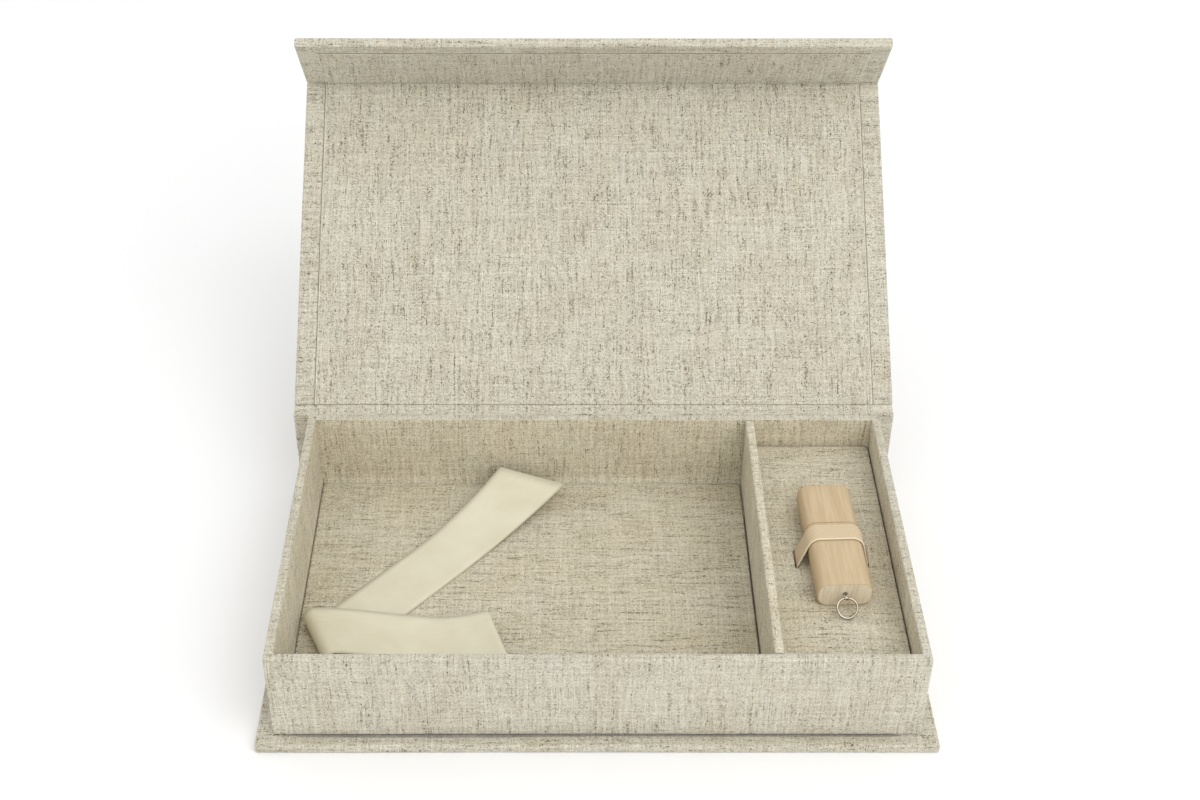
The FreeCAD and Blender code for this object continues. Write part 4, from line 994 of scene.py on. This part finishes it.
def makeMaple(name, endGrain):
    material, tree, shader = newMaterial(name)
    place = addNode(tree, "TexCoord").outputs["Object"]
    inMm = addNode(tree, "VectorMath", {0: place, 1: (1000, 1000, 1000)}, operation="MULTIPLY").outputs[0]
    if endGrain:
        turned = {"Vector": inMm, "Angle": math.radians(-4)}
        inMm = addNode(tree, "VectorRotate", turned, rotation_type="Y_AXIS").outputs["Vector"]
    stretch = (1.5, 1.0, 0.12) if endGrain else (1.0, 0.06, 1.0)
    run = addNode(tree, "VectorMath", {0: inMm, 1: stretch}, operation="MULTIPLY").outputs[0]
    rings = addNode(tree, "TexNoise", {"Vector": run, "Scale": 0.55, "Detail": 3.0}).outputs["Fac"]
    pores = addNode(tree, "TexNoise", {"Vector": run, "Scale": 4.5, "Detail": 2.0}).outputs["Fac"]
    tone = calc(tree, "ADD", calc(tree, "MULTIPLY", rings, 0.75), calc(tree, "MULTIPLY", pores, 0.35))
    light, dark = (tint(201, 180, 147), tint(187, 163, 126))
    if endGrain:
        light, dark = (tint(226, 213, 189), tint(203, 187, 161))
    colour = blendColor(tree, spread(tree, tone, 0.42, 0.72), light, dark)
    if endGrain:  # painted shade: a dark patch round the screw eye's shank, where the eye shades the end grain
        away = addNode(tree, "VectorMath", {0: place, 1: (0, 0, stickThick / 2 + 0.0004)}, operation="DISTANCE")
        holeShade = spread(tree, away.outputs["Value"], 0.0007, 0.0012, 0.85, 0.0)
        colour = blendColor(tree, holeShade, colour, tint(74, 60, 44))
    tree.links.new(colour, shader.inputs["Base Color"])
    bump = addNode(tree, "Bump", {"Height": pores, "Strength": 0.12, "Distance": 0.00008})
    tree.links.new(bump.outputs["Normal"], shader.inputs["Normal"])
    tree.links.new(spread(tree, pores, 0.3, 0.7, 0.48, 0.62), shader.inputs["Roughness"])
    shader.inputs["Specular IOR Level"].default_value = 0.35
    return material


maple = [makeMaple("mapleSide", False), makeMaple("mapleEnd", True)]
bodyLength = bodyHigh.y - bodyLow.y
capStart, capEnd = capLow.y - bodyLow.y, capHigh.y - bodyLow.y
usbBody = makeWood("usbBody", 0.0, bodyLength, stick["end"], stick["joint"], maple, "usb_stick", ["usb_body"])
usbCap = makeWood("usbCap", capStart, capEnd, stick["joint"], stick["end"], maple, "usb_cap", ["usb_cap"])
print("stick shaped")


# Elastic band: ribbed, out of one slit, over the stick and down the other, leaning back

elastic = {
    "width": 0.0087, "thick": 0.0007, "spreadLeft": 0.0037, "spreadRight": 0.0020, "gap": 0.0002, "tail": 0.009,
    "ahead": 0.0004, "turnIn": 0.0012,
    "lean": math.tan(math.radians(11.5)), "ribs": 8, "ribDepth": 0.00016, "ribSteps": 6,
}


def bandHalf(spread):  # (x, z) spots of the band's middle line, from its tail to the top's middle, with their normals
    half = elastic["thick"] / 2
    reach = stickHalf + spread + half
    top = platformHigh.z - bodyLow.z
    under = platformLow.z - bodyLow.z - half
    centre = Vector((stickHalf - stick["corner"], stickThick - stick["corner"]))
    radius = stick["corner"] + elastic["gap"] + half
    away = Vector((reach, top)) - centre
    touchAngle = math.atan2(away.y, away.x) + math.acos(radius / away.length)
    touch = centre + Vector((math.cos(touchAngle), math.sin(touchAngle))) * radius
    tail = Vector((stickHalf + spread - elastic["tail"], under))
    knees = [tail, Vector((reach, under)), Vector((reach, top)), touch]
    spots = []
    for start, end, steps in zip(knees, knees[1:], (4, 2, 10)):
        normal = Vector(((end - start).y, -(end - start).x)).normalized()
        spots += [(start.lerp(end, step / steps), normal) for step in range(steps)]
    for step in range(13):
        angle = touchAngle + (math.pi / 2 - touchAngle) * step / 12
        normal = Vector((math.cos(angle), math.sin(angle)))
        spots.append((centre + normal * radius, normal))
    last = spots[-1][0]
    spots += [(Vector((last.x * (1 - step / 8), last.y)), Vector((0, 1))) for step in range(1, 9)]
    return spots


def makeElastic(material):
    half = bandHalf(elastic["spreadRight"])
    other = bandHalf(elastic["spreadLeft"])
    mirrored = [(Vector((-spot.x, spot.y)), Vector((-normal.x, normal.y))) for spot, normal in reversed(other[:-1])]
    top = platformHigh.z - bodyLow.z
    bandHigh = boxIn(stickFrame, "elastic_band")[1]
    setback = bandHigh.y - bodyLow.y - elastic["width"] - elastic["lean"] * (bandHigh.z - platformHigh.z)
    setback -= elastic["ahead"]
    count = elastic["ribs"] * elastic["ribSteps"]
    section = []
    for side, order in ((1, range(count + 1)), (-1, range(count, -1, -1))):
        for step in order:
            share = step / count
            rib = abs(math.sin(math.pi * share * elastic["ribs"]))
            edge = min(1.0, 4 * elastic["ribs"] * min(share, 1 - share) + 0.35)
            depth = (elastic["thick"] / 2 - elastic["ribDepth"] * (1 - rib)) * edge
            section.append((share * elastic["width"], side * depth))
    section.append(section[0])
    bm, threads = newMesh()
    grid = []
    length = 0.0
    last = half[0][0]
    for spot, normal in half + mirrored:
        length += (spot - last).length
        last = spot
        row = []
        for across, depth in section:
            place = spot + normal * depth
            back = setback + across + elastic["lean"] * (spot.y - top)
            row.append((Vector((place.x, back, place.y)), (across, length)))
        grid.append(row)
    addPatch(bm, threads, grid)
    for row in (grid[0], grid[-1]):
        addCap(bm, threads, row[:-1])
    return meshPiece("elasticBand", bm, [material], "tray", ["elastic_band"], stickPlace)


def makeElasticKnit():
    material, tree, shader = newMaterial("elasticKnit")
    threads = addNode(tree, "UVMap", uv_map="threads").outputs["UV"]
    inMm = addNode(tree, "VectorMath", {0: threads, 1: (1000, 1000, 1000)}, operation="MULTIPLY").outputs[0]
    parts = addNode(tree, "SeparateXYZ", {"Vector": inMm}).outputs
    stitch = calc(tree, "SINE", calc(tree, "MULTIPLY", parts["Y"], 2 * math.pi / 0.45))
    ribShare = calc(tree, "PINGPONG", calc(tree, "MULTIPLY", parts["X"], elastic["ribs"] / (1000 * elastic["width"])), 0.5)
    # painted shade: the colour darkens in the valleys between the ribs
    ribValleyShade = spread(tree, ribShare, 0.0, 0.22, 1.0, 0.0)
    fibre = speckle(tree, calc(tree, "MULTIPLY", parts["X"], 5.0), calc(tree, "MULTIPLY", parts["Y"], 1.2))
    ground = blendColor(tree, spread(tree, fibre, 0.3, 0.7), tint(211, 192, 158), tint(199, 178, 144))
    colour = blendColor(tree, calc(tree, "MULTIPLY", ribValleyShade, 0.35), ground, tint(180, 158, 126))
    # painted highlight: a lighter stripe along the band's near edge only
    nearEdgeHighlight = spread(tree, parts["X"], 0.35, 0.65, 0.8, 0.0)
    colour = blendColor(tree, nearEdgeHighlight, colour, tint(232, 218, 188))
    tree.links.new(colour, shader.inputs["Base Color"])
    relief = calc(tree, "ADD", calc(tree, "MULTIPLY", stitch, 0.3), fibre)
    bump = addNode(tree, "Bump", {"Height": relief, "Strength": 0.3, "Distance": 0.00008})
    tree.links.new(bump.outputs["Normal"], shader.inputs["Normal"])
    tree.links.new(spread(tree, fibre, 0.3, 0.7, 0.72, 0.84), shader.inputs["Roughness"])
    shader.inputs["Sheen Weight"].default_value = 0.25
    return material


def cutSlits():  # the two slits of the CAD card, cut through the platform's cloth with its edges turned down
    mesh = platformCloth.data
    bm = bmesh.new()
    bm.from_mesh(mesh)
    for way, spread in ((-1, elastic["spreadLeft"]), (1, elastic["spreadRight"])):
        leg = stickPlace @ Vector((way * (stickHalf + spread), bodyLength / 2, 0))
        spots = [vert.co for vert in frame["nodes"]["platform_card"].data.vertices if abs(vert.co.x - leg.x) < 0.003]
        low = [min(spot[k] for spot in spots) for k in range(2)]
        high = [max(spot[k] for spot in spots) for k in range(2)]
        for axis, at in ((0, low[0]), (0, high[0]), (1, low[1]), (1, high[1])):
            flat = Vector((1 - axis, axis, 0))
            around = bm.verts[:] + bm.edges[:] + bm.faces[:]
            bmesh.ops.bisect_plane(bm, geom=around, plane_co=flat * at, plane_no=flat, dist=1e-6)
        middles = [(face, face.calc_center_median()) for face in bm.faces]
        gone = [face for face, at in middles if all(low[k] < at[k] < high[k] for k in range(2))]
        bmesh.ops.delete(bm, geom=gone, context="FACES")
    rim = [edge for edge in bm.edges if edge.is_boundary and edge.verts[0].co.z > platformHigh.z - elastic["turnIn"]]
    walls = bmesh.ops.extrude_edge_only(bm, edges=rim)["geom"]
    for vert in walls:
        if isinstance(vert, bmesh.types.BMVert):
            vert.co.z -= elastic["turnIn"]
    bmesh.ops.recalc_face_normals(bm, faces=bm.faces)
    bm.to_mesh(mesh)
    bm.free()


elasticBand = makeElastic(makeElasticKnit())
cutSlits()


# Screw eye in the stick's near end, and the wire ring that hangs in it down to the platform

wire = {
    "eyeHole": 0.00085, "eyeWire": 0.0003, "eyeTurn": math.radians(-35), "shank": 0.0045,
    "ringRadius": 0.0039, "ringWire": 0.00042, "ringSeat": 0.0003, "ringGap": 0.03, "uneven": 0.012, "sides": 12,
    "ringShift": Vector((0.0003, -0.00045, 0)),
}


def addWire(bm, spots, radius, flat):
    # a round wire along spots that lie in the plane square to flat, closed with two end faces
    loops = []
    for number, spot in enumerate(spots):
        ahead = spots[min(number + 1, len(spots) - 1)] - spots[max(number - 1, 0)]
        side = flat.cross(ahead).normalized()
        turns = [2 * math.pi * step / wire["sides"] for step in range(wire["sides"])]
        loops.append([bm.verts.new(spot + (side * math.cos(turn) + flat * math.sin(turn)) * radius) for turn in turns])
    for first, second in zip(loops, loops[1:]):
        for number in range(wire["sides"]):
            after = (number + 1) % wire["sides"]
            bm.faces.new((first[number], first[after], second[after], second[number]))
    bm.faces.new(loops[0])
    bm.faces.new(loops[-1])


def makeEye(material):
    radius = wire["eyeHole"] + wire["eyeWire"]
    middle = Vector((0, -wire["eyeHole"] - 2 * wire["eyeWire"], stickThick / 2))
    turned = Matrix.Rotation(wire["eyeTurn"], 3, "Y")
    bm = bmesh.new()
    loop = []
    for step in range(49):
        angle = 2 * math.pi * step / 48 * 0.985
        loop.append(middle + turned @ Vector((0, math.cos(angle), math.sin(angle))) * radius)
    addWire(bm, loop, wire["eyeWire"], turned @ Vector((1, 0, 0)))
    shank = [middle + Vector((0, radius + wire["shank"] * step / 6, 0)) for step in range(7)]
    addWire(bm, shank, wire["eyeWire"] * 0.98, Vector((1, 0, 0)))
    return meshPiece("screwEye", bm, [material], "usb_stick", ["screw_eye"], stickPlace)


def makeRing(material):
    middle = Vector((0, -wire["eyeHole"] - 2 * wire["eyeWire"], stickThick / 2))
    drop = middle.z - (platformHigh.z - bodyLow.z) - wire["ringSeat"] - wire["ringWire"]
    slope = math.asin(drop / (2 * wire["ringRadius"]))
    hanging = Matrix.Translation(middle + wire["ringShift"]) @ Matrix.Rotation(slope, 4, "X")
    centre = Vector((0, -wire["ringRadius"], 0))
    bm = bmesh.new()
    loop = []
    for step in range(97):
        angle = 0.45 * math.pi + wire["ringGap"] + (2 * math.pi - 2 * wire["ringGap"]) * step / 96
        reach = wire["ringRadius"] * (1 + wire["uneven"] * math.cos(3 * angle - 1.1))
        loop.append(hanging @ (centre + Vector((math.cos(angle), math.sin(angle), 0)) * reach))
    addWire(bm, loop, wire["ringWire"], (hanging.to_3x3() @ Vector((0, 0, 1))).normalized())
    return meshPiece("keyRing", bm, [material], "key_ring", ["key_ring"], stickPlace)


# Metals, boards, papers and plastics

def makeBrushed():
    inputs = [("Place", "vector"), ("Scale", "value"), ("Light", "color"), ("Dark", "color")]
    group, given, result = newGroup("metalWear", inputs, [("Color", "color"), ("Roughness", "value"), ("Height", "value")])
    fine = addNode(group, "TexNoise", {"Vector": given["Place"], "Scale": given["Scale"], "Detail": 4.0}).outputs["Fac"]
    coarse = calc(group, "MULTIPLY", given["Scale"], 0.18)
    dull = addNode(group, "TexNoise", {"Vector": given["Place"], "Scale": coarse, "Detail": 3.0}).outputs["Fac"]
    colour = blendColor(group, spread(group, dull, 0.35, 0.7), given["Light"], given["Dark"])
    group.links.new(colour, result["Color"])
    group.links.new(spread(group, fine, 0.3, 0.7, 0.20, 0.38), result["Roughness"])
    group.links.new(fine, result["Height"])
    return group


metalWear = makeBrushed()


def makeMetal(name, light, dark, scale, under=0.0):  # under is how much painted shade darkens its downward faces, standing in for dark surroundings seen in the metal
    material, tree, shader = newMaterial(name)
    place = addNode(tree, "TexCoord").outputs["Object"]
    wear = useGroup(tree, metalWear, {"Place": place, "Scale": scale, "Light": light, "Dark": dark})
    upward = addNode(tree, "SeparateXYZ", {"Vector": addNode(tree, "TexCoord").outputs["Normal"]}).outputs["Z"]
    # painted shade: faces that point down blend towards dark brown
    colour = blendColor(tree, spread(tree, upward, 0.0, 0.9, under, 0.0), wear["Color"], tint(78, 70, 56))
    tree.links.new(colour, shader.inputs["Base Color"])
    tree.links.new(wear["Roughness"], shader.inputs["Roughness"])
    bump = addNode(tree, "Bump", {"Height": wear["Height"], "Strength": 0.08, "Distance": 0.00005})
    tree.links.new(bump.outputs["Normal"], shader.inputs["Normal"])
    shader.inputs["Metallic"].default_value = 1.0
    return material


def makeFibre():
    inputs = [("Place", "vector"), ("Light", "color"), ("Dark", "color"), ("Fleck", "color"), ("Flecks", "value")]
    group, given, result = newGroup("boardFibre", inputs, [("Color", "color"), ("Roughness", "value"), ("Height", "value")])
    pulp = addNode(group, "TexNoise", {"Vector": given["Place"], "Scale": 900.0, "Detail": 4.0}).outputs["Fac"]
    cloud = addNode(group, "TexNoise", {"Vector": given["Place"], "Scale": 60.0, "Detail": 3.0}).outputs["Fac"]
    bits = addNode(group, "TexVoronoi", {"Vector": given["Place"], "Scale": 420.0}).outputs["Distance"]
    tone = calc(group, "ADD", calc(group, "MULTIPLY", pulp, 0.6), calc(group, "MULTIPLY", cloud, 0.4))
    colour = blendColor(group, spread(group, tone, 0.38, 0.62), given["Light"], given["Dark"])
    mark = calc(group, "MULTIPLY", spread(group, bits, 0.05, 0.16, 1.0, 0.0), given["Flecks"])
    group.links.new(blendColor(group, mark, colour, given["Fleck"]), result["Color"])
    group.links.new(spread(group, pulp, 0.3, 0.7, 0.82, 0.95), result["Roughness"])
    group.links.new(tone, result["Height"])
    return group


boardFibre = makeFibre()


def makePulp(name, light, dark, fleck, flecks):
    material, tree, shader = newMaterial(name)
    place = addNode(tree, "TexCoord").outputs["Object"]
    inputs = {"Place": place, "Light": light, "Dark": dark, "Fleck": fleck, "Flecks": flecks}
    fibre = useGroup(tree, boardFibre, inputs)
    tree.links.new(fibre["Color"], shader.inputs["Base Color"])
    tree.links.new(fibre["Roughness"], shader.inputs["Roughness"])
    bump = addNode(tree, "Bump", {"Height": fibre["Height"], "Strength": 0.3, "Distance": 0.0002})
    tree.links.new(bump.outputs["Normal"], shader.inputs["Normal"])
    return material


def makeMoulded(name, light, dark, low, high):
    material, tree, shader = newMaterial(name)
    place = addNode(tree, "TexCoord").outputs["Object"]
    fine = addNode(tree, "TexNoise", {"Vector": place, "Scale": 2600.0, "Detail": 3.0}).outputs["Fac"]
    cloud = addNode(tree, "TexNoise", {"Vector": place, "Scale": 160.0, "Detail": 2.0}).outputs["Fac"]
    tree.links.new(blendColor(tree, spread(tree, cloud, 0.35, 0.65), light, dark), shader.inputs["Base Color"])
    tree.links.new(spread(tree, fine, 0.3, 0.7, low, high), shader.inputs["Roughness"])
    bump = addNode(tree, "Bump", {"Height": fine, "Strength": 0.1, "Distance": 0.00004})
    tree.links.new(bump.outputs["Normal"], shader.inputs["Normal"])
    return material


# painted shade on the undersides of the ring and the eye
ringSteel = makeMetal("ringSteel", tint(218, 211, 194), tint(172, 162, 143), 900.0, 0.8)
makeEye(ringSteel)
makeRing(ringSteel)

greyboard = makePulp("greyboard", tint(160, 156, 147), tint(132, 128, 120), tint(92, 88, 82), 0.7)
infillPaper = makePulp("infillPaper", tint(238, 234, 224), tint(224, 219, 206), tint(196, 190, 176), 0.3)
nodeFinishes = (
    (greyboard, (
        "base_board", "spine_board", "tray_bottom_board", "tray_front_board", "tray_back_board",
        "tray_left_board", "tray_right_board", "divider_board", "floor_pad_card", "platform_card",
        "platform_rails", "lid_board", "flap_board",
    )),
    (infillPaper, ("lid_infill", "flap_infill")),
    (makeMetal("plugSteel", tint(214, 214, 212), tint(186, 186, 184), 1200.0), ("usb_plug",)),
    (makeMetal("magnetNickel", tint(218, 214, 204), tint(190, 184, 172), 700.0), ("flap_magnets",)),
    (makeMetal("plateSteel", tint(184, 184, 184), tint(140, 139, 136), 500.0), ("front_plates",)),
    (makeMetal("contactGold", tint(232, 190, 104), tint(206, 158, 72), 1500.0), ("usb_contacts",)),
    (makeMoulded("plugPlastic", tint(240, 240, 236), tint(228, 228, 224), 0.38, 0.5), ("usb_collar", "usb_tongue")),
    (makeMoulded("circuitGreen", tint(34, 96, 58), tint(22, 74, 44), 0.3, 0.42), ("usb_circuit",)),
)
for material, names in nodeFinishes:
    for name in names:
        slots = frame["nodes"][name].data.materials
        slots.clear()
        slots.append(material)
print("finishes given to", sum(len(names) for material, names in nodeFinishes), "nodes")


# Camera, light and floor

view = {
    "place": Vector((-0.010157, -0.528529, 0.514515)),
    "down": 37.536,
    "lens": 53.37,
    "shiftX": 0.025,
}

cameraData = bpy.data.cameras.new("camera")
cameraData.lens = view["lens"]
cameraData.sensor_width = 36
cameraData.shift_x = view["shiftX"]
cameraData.clip_start = 0.01
camera = bpy.data.objects.new("camera", cameraData)
camera.location = view["place"]
camera.rotation_euler = (math.radians(90 - view["down"]), 0, 0)
bpy.context.scene.collection.objects.link(camera)
bpy.context.scene.camera = camera

studio = {
    "worldStrength": 0.95,
    "lights": (
        # name, place, aimed at, size, power
        ("frontSoftbox", (0.85, -1.05, 1.50), (0, 0.05, 0.03), 1.5, 15.5),
    ),
}

world = bpy.data.worlds.new("studio")
world.use_nodes = True
world.node_tree.nodes["Background"].inputs["Color"].default_value = (1.0, 1.0, 1.0, 1.0)
world.node_tree.nodes["Background"].inputs["Strength"].default_value = studio["worldStrength"]
bpy.context.scene.world = world
bpy.context.scene.view_settings.view_transform = "Standard"
for name, place, target, size, power in studio["lights"]:
    light = bpy.data.lights.new(name, "AREA")
    light.size = size
    light.energy = power
    lamp = bpy.data.objects.new(name, light)
    lamp.location = place
    lamp.rotation_euler = (Vector(target) - Vector(place)).to_track_quat("-Z", "Y").to_euler()
    bpy.context.scene.collection.objects.link(lamp)


def makeFloor():
    material, tree, shader = newMaterial("paleFloor")
    place = addNode(tree, "TexCoord").outputs["Object"]
    grain = addNode(tree, "TexNoise", {"Vector": place, "Scale": 60.0}).outputs["Fac"]
    tree.links.new(spread(tree, grain, 0.3, 0.7, 0.55, 0.65), shader.inputs["Roughness"])
    shader.inputs["Base Color"].default_value = (0.93, 0.93, 0.93, 1.0)
    bm = bmesh.new()
    bmesh.ops.create_grid(bm, x_segments=1, y_segments=1, size=6.0)
    mesh = bpy.data.meshes.new("studioFloor")
    bm.to_mesh(mesh)
    bm.free()
    mesh.materials.append(material)
    floor = bpy.data.objects.new("studioFloor", mesh)
    bpy.context.scene.collection.objects.link(floor)


makeFloor()
